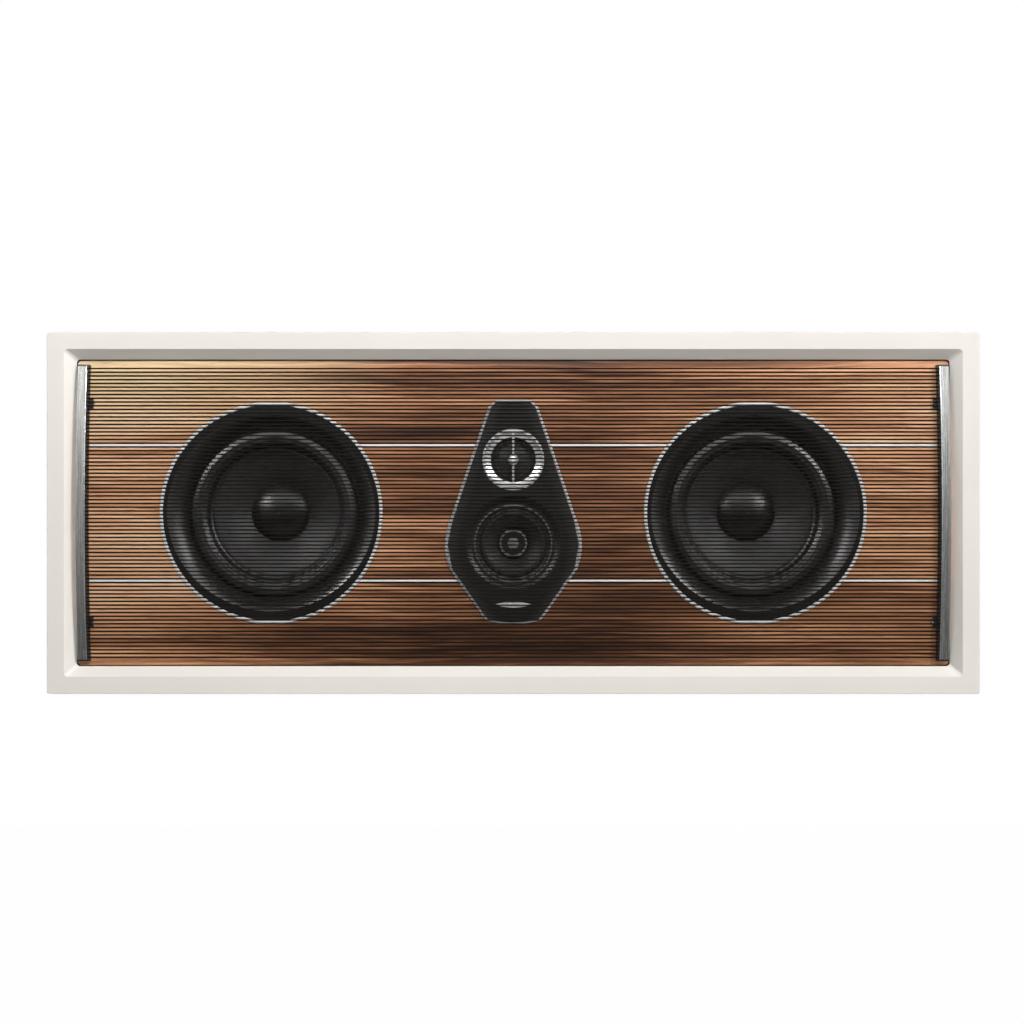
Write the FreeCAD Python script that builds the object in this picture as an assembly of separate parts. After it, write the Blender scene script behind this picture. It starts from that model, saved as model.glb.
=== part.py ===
import FreeCAD, Part
import math
import os

os.makedirs("parts", exist_ok=True)

# In-wall loudspeaker, all lengths in millimetres.
# X runs to the right, Y into the wall, Z up; the wall surface is the plane Y = 0.
# The front of the speaker looks along -Y and everything with Y > 0 sits inside the wall.

# Overall frame
FRAME_WIDTH = 760.0
FRAME_HEIGHT = 295.0
TRIM_FRONT_Y = -10.5
TRIM_FLAT_WIDTH = 14.0
TRIM_BEVEL_WIDTH = 7.6
TRIM_BEVEL_DEPTH = 7.5
TRIM_WALL = 2.2
TRIM_CORNER_RADIUS = 2.0
TRIM_INNER_RADIUS = 3.0
TRIM_EDGE_ROUND = 0.7
TRIM_WALL_GAP = 0.3
TRIM_RIB_INSET = 5.0
TRIM_RIB_WIDTH = 2.0

# Fits between pieces that are pushed together
PUSH_GAP = 0.3
PANEL_GAP = 0.4
PILOT_GAP = 0.05

# Mounting chassis behind the trim
CHASSIS_FLANGE = 2.5
CHASSIS_WALL = 3.0
CHASSIS_DEPTH = 30.0
CHASSIS_LEDGE_WIDTH = 10.0
CHASSIS_LEDGE = 3.0
CHASSIS_PANEL_GAP = 0.6
CHASSIS_RIB = 3.0
CHASSIS_RIB_HEIGHT = 8.0
CHASSIS_RIBS = 3

# Bowed wooden panel
PANEL_MID_Y = -6.76
PANEL_RADIUS = 1500.0
PANEL_BACK_Y = 12.0
PANEL_CORNER_RADIUS = 3.5
PANEL_EDGE_ROUND = 0.8

# Metal inlay lines in the panel
INLAY_Z = 55.3
INLAY_WIDTH = 1.9
INLAY_DEPTH = 1.6
INLAY_PROUD = 0.1

# String grille
STRING_PITCH = 3.075
STRING_DIAMETER = 1.2
STRING_LIFT = 3.3
STRING_SIDES = 8
BAR_WIDTH = 7.5
BAR_SIDE_GAP = 2.0
BAR_END_GAP = 5.7
BAR_THICKNESS = 1.5
BAR_LIFT = 4.1
BAR_EDGE = 0.4
COMB_LIP = 1.2
COMB_SIDE = 0.5
COMB_END_GAP = 4.0
COMB_SLOT_WIDTH = 1.5
COMB_SLOT_GAP = 0.2
ANCHOR_START = 1.5
ANCHOR_WIDTH = 3.4
ANCHOR_THICKNESS = 1.4
COMB_PEG_RADIUS = 2.5
COMB_PEG_LENGTH = 7.0
COMB_PEG_Z = 70.0
LUG_Z = 89.5
LUG_HEIGHT = 8.0
LUG_REACH = 3.1
LUG_LIFT = 2.2
GRILLE_PIN_RADIUS = 0.9
GRILLE_PIN_LENGTH = 3.4
GRILLE_PIN_SHOW = 1.4

# Woofers
WOOFER_X = 198.0
RING_RADIUS = 91.2
RING_PROUD = 0.8
RING_LIP_WIDTH = 2.3
RING_LIP_STEP = 0.6
RING_LIP_CHAMFER = 0.5
RING_BAND_WIDTH = 5.0
RING_FLARE_WIDTH = 14.4
RING_FLARE_BULGE = 2.1
RING_FLARE_LEAD = 0.3
RING_INNER_Y = 5.2
RING_SKIN = 1.2
RING_WALL = 2.6
RING_STOCK = 3.0
SEAT_GAP = 0.3
WOOFER_SEAT_Y = 2.6
WOOFER_FLANGE = 2.3
WOOFER_FLANGE_INSET = 3.9
WOOFER_SEAT_WIDTH = 7.0
SURROUND_RING_GAP = 1.8
SURROUND_SEAT_Y = 7.6
SURROUND_ROLL_WIDTH = 14.8
SURROUND_SKIN = 0.8
SURROUND_LIP = 4.5
SURROUND_GLUE = 3.0
SURROUND_INNER_Y = 13.5
SURROUND_CREST_Y = 1.9
CONE_SKIN = 0.9
CONE_BULGE = 1.4
CONE_RIM_GAP = 0.5
CAP_RADIUS = 24.2
CAP_HEIGHT = 8.5
CAP_SKIN = 0.9
COIL_RADIUS = 19.0
COIL_FORMER = 0.5
COIL_WINDING = 0.8
CONE_NECK_Y = 33.0
COIL_END_Y = 65.0
COIL_WINDING_LENGTH = 10.0
SPIDER_Y = 47.5
SPIDER_OUTER = 44.5
SPIDER_SKIN = 0.7
SPIDER_WAVE = 2.0
SPIDER_WAVES = 4
BASKET_SKIN = 3.2
BASKET_STEP_WALL = 2.3
BASKET_HOLE_GAP = 0.5
BASKET_WAIST_INSET = 6.8
BASKET_LEDGE = 5.0
BASKET_DRAFT = 0.4
WINDOW_INSET = 16.0
WINDOW_REACH = 20.0
WINDOW_START = 1.5
WINDOW_STOP = 3.0
BASKET_REAR_RADIUS = 48.5
BASKET_NECK_RADIUS = 24.0
BASKET_REAR_PLATE = 3.0
BASKET_WINDOWS = 6
BASKET_SPOKE_ANGLE = 16.0
TOP_PLATE_Y = 58.0
TOP_PLATE = 5.0
TOP_PLATE_RADIUS = 44.0
COIL_GAP = 0.8
MAGNET_RADIUS = 47.0
MAGNET_BORE = 27.0
MAGNET_HEIGHT = 14.0
BACK_PLATE = 5.0
POLE_GAP = 0.6
POLE_LEAD = 2.0
POLE_VENT_RADIUS = 5.0
WOOFER_SCREW_INSET = 3.6
WOOFER_SCREWS = 6
SCREW_HEAD_RADIUS = 3.0
SCREW_HEAD = 1.3
SCREW_RADIUS = 1.6
SCREW_LENGTH = 8.0
SCREW_EDGE = 0.4

# Centre plate, half outline as X and Z
PLATE_TOP_Z = 92.6
PLATE_TOP_HALF = 14.5
PLATE_TOP_CORNER = (20.6, 86.3)
PLATE_SIDE_END = (52.0, -6.5)
PLATE_WIDEST = (56.0, -25.5)
PLATE_LOWER = (52.2, -46.0)
PLATE_LOWER_END = (26.5, -82.8)
PLATE_BOTTOM_CORNER = (22.4, -88.0)
PLATE_BOTTOM_Z = -91.0
PLATE_PROUD = 1.6
PLATE_BEVEL = 1.2
PLATE_CORNER_ROUND = 2.0
PLATE_BACK_Y = -2.5
PLATE_FIT = 0.3
PLATE_SCREW_BITE = 1.3
REAR_SCREW_RADIUS = 1.3
REAR_SCREW_HEAD_RADIUS = 2.5
PLATE_SCREW_SPOTS = ((12.0, 84.0), (-12.0, 84.0), (15.0, -80.0), (-15.0, -80.0))
BADGE_Z = -75.0
BADGE_HALF_WIDTH = 15.2
BADGE_HALF_HEIGHT = 2.4
BADGE_THICKNESS = 0.9

# Midrange driver
MID_Z = -25.2
MID_FLARE_RADIUS = 39.0
MID_BORE_RADIUS = 34.5
MID_FLARE_Y = -5.2
MID_FLANGE = 2.4
MID_FLANGE_RADIUS = 36.5
MID_HOLE_RADIUS = 37.2
MID_SURROUND_OUTER = 31.0
MID_SURROUND_INNER = 25.5
MID_SURROUND_LIP = 3.0
MID_SURROUND_GLUE = 1.5
MID_CONE_BULGE = 0.8
MID_ROLL_GAP = 0.4
MID_SURROUND_SKIN = 0.7
MID_SURROUND_VALLEY = 2.4
MID_CONE_SKIN = 0.7
MID_CAP_RADIUS = 12.2
MID_CAP_HEIGHT = 3.0
MID_COIL_RADIUS = 9.8
MID_COIL_FORMER = 0.5
MID_COIL_END_Y = 21.0
MID_NECK_Y = 10.0
MID_BASKET_SKIN = 2.0
MID_BASKET_REAR_RADIUS = 22.0
MID_BASKET_REAR_Y = 17.0
MID_TOP_PLATE = 4.0
MID_MOTOR_RADIUS = 24.0
MID_MAGNET_HEIGHT = 8.0
MID_BACK_PLATE = 4.0
MID_CUP_WALL = 2.2
MID_CUP_RADIUS = 40.0
MID_CUP_FLANGE_RADIUS = 46.0
MID_CUP_FLANGE = 2.5
MID_CUP_DEPTH = 34.0

# Tweeter
TWEETER_Z = 43.5
TWEETER_RING_RADIUS = 25.3
TWEETER_RING_PROUD = 0.6
TWEETER_RING_SEAT_Y = -6.0
TWEETER_SPIGOT_RADIUS = 22.6
TWEETER_MOUTH_RADIUS = 24.3
TWEETER_THROAT_RADIUS = 18.6
TWEETER_THROAT_Y = -5.0
TWEETER_RING_EDGE = 0.4
TWEETER_MOUTH_HOLLOW = 0.5
TWEETER_DOME_RADIUS = 14.0
TWEETER_DOME_HEIGHT = 4.0
TWEETER_DOME_SKIN = 0.5
TWEETER_DOME_Y = -0.6
TWEETER_SURROUND_OUTER = 17.6
TWEETER_SURROUND_LIP = 1.3
TWEETER_COIL_LENGTH = 5.0
TWEETER_COIL_SKIN = 0.5
TWEETER_BODY_RADIUS = 22.0
TWEETER_FLANGE_RADIUS = 26.0
TWEETER_HOLE_RADIUS = 26.5
TWEETER_FLANGE = 3.0
TWEETER_BODY_END_Y = 26.0
TWEETER_GAP_DEPTH = 9.0
TWEETER_GAP_SIDE = 0.7
BULLET_RADIUS = 4.3
BULLET_FRONT_Y = -8.5
BULLET_BACK_Y = -6.0
PHASE_BAR_WIDTH = 1.7
PHASE_BAR_DEPTH = 1.6
PHASE_BAR_SETBACK = 0.8
PHASE_FOOT_HALF = 3.4
PHASE_FOOT_HEIGHT = 2.8
STRAP_THICKNESS = 1.5
STRAP_WIDTH = 12.0
STRAP_FOOT = 12.0

# Crossover board and terminals on the back of the panel
BOARD_X = 80.0
BOARD_WIDTH = 58.0
BOARD_HEIGHT = 150.0
BOARD_THICKNESS = 1.6
BOARD_STANDOFF = 5.0
STANDOFF_RADIUS = 3.2
STANDOFF_INSET = 5.0
INDUCTOR_SPOTS = ((80.0, 50.0, 19.0, 9.0, 16.0), (68.0, 8.0, 14.0, 7.0, 14.0), (96.0, 14.0, 9.5, 4.0, 12.0))
CAPACITOR_SPOTS = ((80.0, -22.0, 8.0, 44.0), (80.0, -42.0, 7.0, 40.0), (80.0, -60.0, 6.0, 30.0))
RESISTOR_SPOTS = ((104.5, 40.0), (55.5, 40.0))
RESISTOR_SIZE = (8.0, 8.0, 22.0)
TERMINAL_X = -80.0
TERMINAL_WIDTH = 48.0
TERMINAL_HEIGHT = 36.0
TERMINAL_DEPTH = 14.0
TERMINAL_FLANGE = 2.5
TERMINAL_FLANGE_MARGIN = 7.0
BUTTON_SPACING = 22.0
BUTTON_WIDTH = 13.0
BUTTON_HEIGHT = 14.0
BUTTON_SHOW = 7.0
BUTTON_INSIDE = 5.0
BUTTON_Z = 5.0
BUTTON_GAP = 0.4
BUTTON_TRAVEL = 4.0
BUTTON_ROUND = 1.2
WIRE_HOLE_RADIUS = 2.2
WIRE_HOLE_Z = -11.0
WIRE_HOLE_DEPTH = 9.0

# Wall clamps: a long screw with a leg that swings out behind the plasterboard
CLAMP_END_MARGIN = 118.0
CLAMP_WALL_GAP = 6.4
CLAMP_SCREW_RADIUS = 1.75
CLAMP_HOLE_GAP = 0.35
CLAMP_HEAD_RADIUS = 3.3
CLAMP_HEAD = 2.4
CLAMP_SLOT = 1.2
CLAMP_END_Y = 46.0
CLAMP_TOWER_RADIUS = 3.9
CLAMP_TOWER_Y = 10.0
LEG_LENGTH = 22.0
LEG_WIDTH = 7.0
LEG_THICKNESS = 6.0
LEG_Y = 35.0

# Screws from the chassis ledge into the panel
PANEL_SCREWS_A_SIDE = 4
PANEL_SCREW_MARGIN = 58.0
PANEL_SCREW_HEAD_RADIUS = 3.4
PANEL_SCREW_HEAD = 2.0
PANEL_SCREW_RADIUS = 1.5
PANEL_SCREW_LENGTH = 11.0

# Sizes that follow from the ones above
OPENING_WIDTH = FRAME_WIDTH - 2 * (TRIM_FLAT_WIDTH + TRIM_BEVEL_WIDTH)
OPENING_HEIGHT = FRAME_HEIGHT - 2 * (TRIM_FLAT_WIDTH + TRIM_BEVEL_WIDTH)
PANEL_WIDTH = OPENING_WIDTH - 2 * PANEL_GAP
PANEL_HEIGHT = OPENING_HEIGHT - 2 * PANEL_GAP
POCKET_WIDTH = PANEL_WIDTH + 2 * CHASSIS_PANEL_GAP
POCKET_HEIGHT = PANEL_HEIGHT + 2 * CHASSIS_PANEL_GAP
TUB_WIDTH = POCKET_WIDTH + 2 * CHASSIS_WALL
TUB_HEIGHT = POCKET_HEIGHT + 2 * CHASSIS_WALL
BAR_OUTER_X = PANEL_WIDTH / 2 - BAR_SIDE_GAP
BAR_INNER_X = BAR_OUTER_X - BAR_WIDTH
BAR_HALF_LENGTH = PANEL_HEIGHT / 2 - BAR_END_GAP
COMB_HALF_LENGTH = PANEL_HEIGHT / 2 - COMB_END_GAP
COMB_INNER_X = BAR_INNER_X - COMB_LIP
STRING_COUNT = int(2 * BAR_HALF_LENGTH / STRING_PITCH) + 1
RING_BAND_RADIUS = RING_RADIUS - RING_BAND_WIDTH
RING_INNER_RADIUS = RING_BAND_RADIUS - RING_FLARE_WIDTH
SURROUND_OUTER = RING_INNER_RADIUS - SURROUND_RING_GAP
SURROUND_INNER = SURROUND_OUTER - SURROUND_ROLL_WIDTH
WOOFER_FLANGE_RADIUS = RING_RADIUS - WOOFER_FLANGE_INSET
WOOFER_HOLE_RADIUS = WOOFER_FLANGE_RADIUS - WOOFER_SEAT_WIDTH
WOOFER_SCREW_CIRCLE = WOOFER_FLANGE_RADIUS - WOOFER_SCREW_INSET
CLAMP_X = PANEL_WIDTH / 2 - CLAMP_END_MARGIN
CLAMP_Z = TUB_HEIGHT / 2 + CLAMP_WALL_GAP
LEDGE_END_Y = PANEL_BACK_Y + CHASSIS_LEDGE
MAGNET_Y = TOP_PLATE_Y + TOP_PLATE
BACK_PLATE_Y = MAGNET_Y + MAGNET_HEIGHT
MOTOR_END_Y = BACK_PLATE_Y + BACK_PLATE
WOOFER_FRONT_Y = WOOFER_SEAT_Y - WOOFER_FLANGE
BOARD_BACK_Y = PANEL_BACK_Y + BOARD_STANDOFF
BOARD_TOP_Y = BOARD_BACK_Y + BOARD_THICKNESS
TERMINAL_END_Y = PANEL_BACK_Y + TERMINAL_DEPTH

FAR = 1000.0
FORWARD = FreeCAD.Vector(0, 1, 0)
ORIGIN = FreeCAD.Vector(0, 0, 0)


def vec(x, y, z):
    return FreeCAD.Vector(x, y, z)


def export(name, shape):
    shape.exportStep("parts/" + name + ".step")


def box(x0, x1, y0, y1, z0, z1):
    return Part.makeBox(x1 - x0, y1 - y0, z1 - z0, vec(x0, y0, z0))


def rod(radius, y0, y1, x=0.0, z=0.0):
    return Part.makeCylinder(radius, y1 - y0, vec(x, y0, z), FORWARD)


def tube(outer, inner, y0, y1, x=0.0, z=0.0):
    return rod(outer, y0, y1, x, z).cut(rod(inner, y0 - 1, y1 + 1, x, z))


def path(points, place):
    """Closed wire through (a, b) points; a triple (a, b, "arc") is the middle of an arc to the next."""
    edges = []
    spots = points + [points[0]]
    i = 0
    while i < len(spots) - 1:
        start = place(spots[i])
        after = spots[i + 1]
        if len(after) == 3:
            end = place(spots[i + 2])
            edges.append(Part.Arc(start, place(after), end).toShape())
            i += 2
        else:
            edges.append(Part.LineSegment(start, place(after)).toShape())
            i += 1
    return Part.Wire(edges)


def turned(points, x=0.0, z=0.0):
    """Solid of revolution about the Y axis from (radius, y) points."""
    wire = path(points, lambda p: vec(p[0], p[1], 0))
    solid = Part.Face(wire).revolve(ORIGIN, FORWARD, 360)
    solid.translate(vec(x, 0, z))
    return solid


def prism(points, y0, y1):
    """Solid from an outline of (x, z) points between two depths."""
    wire = path(points, lambda p: vec(p[0], y0, p[1]))
    return Part.Face(wire).extrude(vec(0, y1 - y0, 0))


def rounded_outline(width, height, radius, y):
    a = width / 2
    b = height / 2
    c = radius * (1 - math.sqrt(0.5))
    spots = [(radius - a, -b), (a - radius, -b), (a - c, c - b, "arc"), (a, radius - b), (a, b - radius)]
    spots += [(a - c, b - c, "arc"), (a - radius, b), (radius - a, b), (c - a, b - c, "arc"),
              (-a, b - radius)]
    spots += [(-a, radius - b), (c - a, c - b, "arc")]
    return path(spots, lambda p: vec(p[0], y, p[1]))


def rounded_block(width, height, radius, y0, y1):
    return Part.Face(rounded_outline(width, height, radius, y0)).extrude(vec(0, y1 - y0, 0))


def tapered_block(width, height, radius, grow, y0, y1):
    """Block that is wider by grow on every side at its front end y0."""
    front = rounded_outline(width + 2 * grow, height + 2 * grow, radius, y0)
    back = rounded_outline(width, height, radius, y1)
    return Part.makeLoft([front, back], True, True)


def front_y(z, lift=0.0):
    """Depth of the bowed panel face at height z, or of a surface lifted off it."""
    return PANEL_MID_Y + PANEL_RADIUS - math.sqrt((PANEL_RADIUS + lift) ** 2 - z * z)


def bowed_block(x0, x1, half, lift, y_back):
    """Block behind the bowed surface that lies lift in front of the panel face."""
    spots = [(y_back, -half), (front_y(half, lift), -half), (front_y(0, lift), 0, "arc")]
    spots += [(front_y(half, lift), half), (y_back, half)]
    wire = path(spots, lambda p: vec(x0, p[0], p[1]))
    return Part.Face(wire).extrude(vec(x1 - x0, 0, 0))


def bowed_strip(x0, x1, half, lift_back, lift_front):
    """Strip of even thickness that follows the bow of the panel."""
    spots = [(front_y(half, lift_back), -half), (front_y(half, lift_front), -half)]
    spots += [(front_y(0, lift_front), 0, "arc"), (front_y(half, lift_front), half)]
    spots += [(front_y(half, lift_back), half), (front_y(0, lift_back), 0, "arc")]
    wire = path(spots, lambda p: vec(x0, p[0], p[1]))
    return Part.Face(wire).extrude(vec(x1 - x0, 0, 0))


def bowl_middle(radius, height, base):
    """Middle point of the arc of a dome that rises from base towards the front."""
    ball = (radius ** 2 + height ** 2) / (2 * height)
    turn = math.asin(radius / ball) / 2
    return (ball * math.sin(turn), base - height + ball * (1 - math.cos(turn)), "arc")


def arc_y(start, middle, end, radius):
    """Depth at a radius on the arc through three (radius, y) points, on the side of the middle point."""
    circle = Part.Arc(*[vec(p[0], p[1], 0) for p in (start, middle, end)]).toShape()
    line = Part.makeLine(vec(radius, -FAR, 0), vec(radius, FAR, 0))
    return circle.distToShape(line)[1][0][0].y


def mirrored(shape):
    return shape.mirror(ORIGIN, vec(1, 0, 0))


def ring_spots(count, radius, x, z, first=0.0):
    turns = [first + 2 * math.pi * i / count for i in range(count)]
    return [(x + radius * math.cos(a), z + radius * math.sin(a)) for a in turns]


def screw(x, z, head_y, head_radius, head, radius, length, side):
    """Screw with its head seated at head_y; side is 1 when the shank points into the wall, else -1."""
    edge = SCREW_EDGE
    spots = [(0, -head), (head_radius - edge, -head), (head_radius, edge - head), (head_radius, 0),
             (radius, 0)]
    spots += [(radius, length - radius), (0, length)]
    return turned([(r, head_y + side * y) for r, y in spots], x, z)


def plate_outline(grow):
    """Outline of the centre plate, moved outward by grow."""
    spots = [(PLATE_TOP_HALF, PLATE_TOP_Z), PLATE_TOP_CORNER, PLATE_SIDE_END, PLATE_WIDEST + ("arc",)]
    spots += [PLATE_LOWER, PLATE_LOWER_END, PLATE_BOTTOM_CORNER]
    left = [(-p[0],) + p[1:] for p in reversed(spots)]
    wire = path(spots + [(0.0, PLATE_BOTTOM_Z, "arc")] + left, lambda p: vec(p[0], 0, p[1]))
    if grow:
        wire = wire.makeOffset2D(grow)
    return wire


def plate_block(grow, y0, y1):
    wire = plate_outline(grow)
    wire.translate(vec(0, y0, 0))
    return Part.Face(wire).extrude(vec(0, y1 - y0, 0))


# Frame, chassis and panel

def make_trim():
    skirt_end = -TRIM_WALL_GAP
    bevel_end = TRIM_FRONT_Y + TRIM_BEVEL_DEPTH
    shell = rounded_block(FRAME_WIDTH, FRAME_HEIGHT, TRIM_CORNER_RADIUS, TRIM_FRONT_Y, skirt_end)
    front_edges = [e for e in shell.Edges if e.BoundBox.YMax < TRIM_FRONT_Y + 0.01]
    shell = shell.makeFillet(TRIM_EDGE_ROUND, front_edges)
    cavity_y = TRIM_FRONT_Y + TRIM_WALL
    inside_width = FRAME_WIDTH - 2 * TRIM_WALL
    inside_height = FRAME_HEIGHT - 2 * TRIM_WALL
    cavity = rounded_block(inside_width, inside_height, TRIM_CORNER_RADIUS, cavity_y, skirt_end + 1)
    wall_width = OPENING_WIDTH + 2 * TRIM_WALL
    wall_height = OPENING_HEIGHT + 2 * TRIM_WALL
    wall = tapered_block(wall_width, wall_height, TRIM_INNER_RADIUS, TRIM_BEVEL_WIDTH, TRIM_FRONT_Y,
                         bevel_end)
    rib_width = FRAME_WIDTH - 2 * TRIM_RIB_INSET
    rib_height = FRAME_HEIGHT - 2 * TRIM_RIB_INSET
    rib = rounded_block(rib_width, rib_height, TRIM_CORNER_RADIUS, TRIM_FRONT_Y + 1, -CHASSIS_FLANGE)
    rib_hole = rounded_block(rib_width - 2 * TRIM_RIB_WIDTH, rib_height - 2 * TRIM_RIB_WIDTH,
                             TRIM_CORNER_RADIUS, TRIM_FRONT_Y, skirt_end)
    cavity = cavity.cut(wall).cut(rib.cut(rib_hole))
    hole = tapered_block(OPENING_WIDTH, OPENING_HEIGHT, TRIM_INNER_RADIUS, TRIM_BEVEL_WIDTH,
                         TRIM_FRONT_Y, bevel_end)
    through = rounded_block(OPENING_WIDTH, OPENING_HEIGHT, TRIM_INNER_RADIUS, bevel_end - 0.1,
                            skirt_end + 1)
    return shell.cut(cavity).cut(hole).cut(through)


def clamp_spots():
    return [(side * CLAMP_X, level * CLAMP_Z) for level in (1, -1) for side in (-1, 1)]


def panel_screw_spots():
    level = PANEL_HEIGHT / 2 - CHASSIS_LEDGE_WIDTH / 2
    reach = PANEL_WIDTH / 2 - PANEL_SCREW_MARGIN
    step = 2 * reach / (PANEL_SCREWS_A_SIDE - 1)
    return [(i * step - reach, side * level) for side in (1, -1) for i in range(PANEL_SCREWS_A_SIDE)]


def make_chassis():
    flange_width = FRAME_WIDTH - 2 * (TRIM_WALL + PUSH_GAP)
    flange_height = FRAME_HEIGHT - 2 * (TRIM_WALL + PUSH_GAP)
    body = rounded_block(flange_width, flange_height, TRIM_CORNER_RADIUS, -CHASSIS_FLANGE, 0)
    body = body.fuse(rounded_block(TUB_WIDTH, TUB_HEIGHT, PANEL_CORNER_RADIUS + CHASSIS_WALL, -1,
                                   CHASSIS_DEPTH))
    for x, z in clamp_spots():
        inward = math.copysign(CLAMP_TOWER_RADIUS + CHASSIS_WALL, z)
        low = min(z, z - inward)
        high = max(z, z - inward)
        tower = rod(CLAMP_TOWER_RADIUS, -1, CLAMP_TOWER_Y, x, z)
        web = box(x - CLAMP_TOWER_RADIUS, x + CLAMP_TOWER_RADIUS, -1, CLAMP_TOWER_Y, low, high)
        body = body.fuse(tower).fuse(web)
    pocket = rounded_block(POCKET_WIDTH, POCKET_HEIGHT, PANEL_CORNER_RADIUS, -CHASSIS_FLANGE - 1,
                           PANEL_BACK_Y)
    body = body.cut(pocket)
    ledge_width = PANEL_WIDTH - 2 * CHASSIS_LEDGE_WIDTH
    ledge_height = PANEL_HEIGHT - 2 * CHASSIS_LEDGE_WIDTH
    window = rounded_block(ledge_width, ledge_height, PANEL_CORNER_RADIUS, 0, CHASSIS_DEPTH + 1)
    rear = rounded_block(POCKET_WIDTH, POCKET_HEIGHT, PANEL_CORNER_RADIUS, LEDGE_END_Y, CHASSIS_DEPTH + 1)
    body = body.cut(window).cut(rear)
    half = CHASSIS_RIB / 2
    level = POCKET_HEIGHT / 2
    spacing = TUB_WIDTH / (CHASSIS_RIBS + 1)
    for i in range(CHASSIS_RIBS):
        x = (i - (CHASSIS_RIBS - 1) / 2) * spacing
        for side in (1, -1):
            inner = side * (level - CHASSIS_RIB_HEIGHT)
            outer = side * (level + 1)
            rib = box(x - half, x + half, LEDGE_END_Y - 1, CHASSIS_DEPTH, min(inner, outer),
                      max(inner, outer))
            body = body.fuse(rib)
    for x, z in clamp_spots():
        body = body.cut(rod(CLAMP_SCREW_RADIUS + CLAMP_HOLE_GAP, -CHASSIS_FLANGE - 1, CLAMP_TOWER_Y + 1,
                            x, z))
    for x, z in panel_screw_spots():
        body = body.cut(rod(PANEL_SCREW_RADIUS + PILOT_GAP, PANEL_BACK_Y - 1, LEDGE_END_Y + 1, x, z))
    return body.removeSplitter()


def comb_peg_spots():
    middle = (BAR_INNER_X + BAR_OUTER_X) / 2
    return [(side * middle, level * COMB_PEG_Z) for side in (1, -1) for level in (1, -1)]


def woofer_screw_spots(x):
    return ring_spots(WOOFER_SCREWS, WOOFER_SCREW_CIRCLE, x, 0.0, math.pi / WOOFER_SCREWS)


def inlay_cutters():
    shapes = [rod(RING_RADIUS + SEAT_GAP, -FAR, FAR, side * WOOFER_X, 0) for side in (1, -1)]
    shapes.append(plate_block(PLATE_FIT, -FAR, FAR))
    return shapes


def inlay_bars(gap):
    """The two metal lines; gap widens them to cut their grooves."""
    end = COMB_INNER_X - PUSH_GAP + gap
    bars = []
    for side in (1, -1):
        strip = bowed_strip(-end, end, INLAY_Z + FAR / 10, -INLAY_DEPTH - gap, INLAY_PROUD + gap)
        level = side * INLAY_Z
        slab = box(-end, end, -FAR / 10, FAR / 10, level - INLAY_WIDTH / 2 - gap,
                   level + INLAY_WIDTH / 2 + gap)
        bars.append(strip.common(slab))
    return bars


def make_inlays():
    pieces = []
    for bar in inlay_bars(0.0):
        for cutter in inlay_cutters():
            bar = bar.cut(cutter)
        pieces += bar.Solids
    return Part.makeCompound(pieces)


def make_panel():
    body = bowed_block(-PANEL_WIDTH / 2, PANEL_WIDTH / 2, PANEL_HEIGHT / 2, 0.0, PANEL_BACK_Y)
    long_edges = [e for e in body.Edges if e.BoundBox.XLength > PANEL_HEIGHT]
    long_edges = [e for e in long_edges if e.BoundBox.YMax < PANEL_BACK_Y - 1]
    body = body.makeFillet(PANEL_EDGE_ROUND, long_edges)
    rim = rounded_block(PANEL_WIDTH, PANEL_HEIGHT, PANEL_CORNER_RADIUS, -FAR / 10, FAR / 10)
    body = body.common(rim)
    for x in (WOOFER_X, -WOOFER_X):
        body = body.cut(rod(RING_RADIUS + SEAT_GAP, -FAR / 10, WOOFER_SEAT_Y, x, 0))
        body = body.cut(rod(WOOFER_HOLE_RADIUS, 0, PANEL_BACK_Y + 1, x, 0))
        for sx, sz in woofer_screw_spots(x):
            body = body.cut(rod(SCREW_RADIUS + PILOT_GAP, 0, WOOFER_SEAT_Y + SCREW_LENGTH, sx, sz))
    body = body.cut(plate_block(PLATE_FIT, -FAR / 10, PLATE_BACK_Y))
    body = body.cut(rod(MID_HOLE_RADIUS, -FAR / 10, PANEL_BACK_Y + 1, 0, MID_Z))
    body = body.cut(rod(TWEETER_HOLE_RADIUS, -FAR / 10, PANEL_BACK_Y + 1, 0, TWEETER_Z))
    for x, z in comb_peg_spots():
        body = body.cut(rod(COMB_PEG_RADIUS + PILOT_GAP, -FAR / 10, front_y(z) + COMB_PEG_LENGTH + 1, x, z))
    for x, z in panel_screw_spots():
        body = body.cut(rod(PANEL_SCREW_RADIUS + PILOT_GAP, LEDGE_END_Y - PANEL_SCREW_LENGTH, FAR / 10,
                            x, z))
    for bar in inlay_bars(PILOT_GAP):
        body = body.cut(bar)
    return drill_rear_screws(body)


def make_panel_screws():
    pieces = []
    for x, z in panel_screw_spots():
        pieces.append(screw(x, z, LEDGE_END_Y, PANEL_SCREW_HEAD_RADIUS, PANEL_SCREW_HEAD,
                            PANEL_SCREW_RADIUS, PANEL_SCREW_LENGTH, -1))
    return Part.makeCompound(pieces)


# String grille

def string_spots():
    reach = PANEL_RADIUS + STRING_LIFT
    spots = []
    for i in range(STRING_COUNT):
        turn = (i - (STRING_COUNT - 1) / 2) * STRING_PITCH / reach
        spots.append((PANEL_MID_Y + PANEL_RADIUS - reach * math.cos(turn), reach * math.sin(turn)))
    return spots


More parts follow.
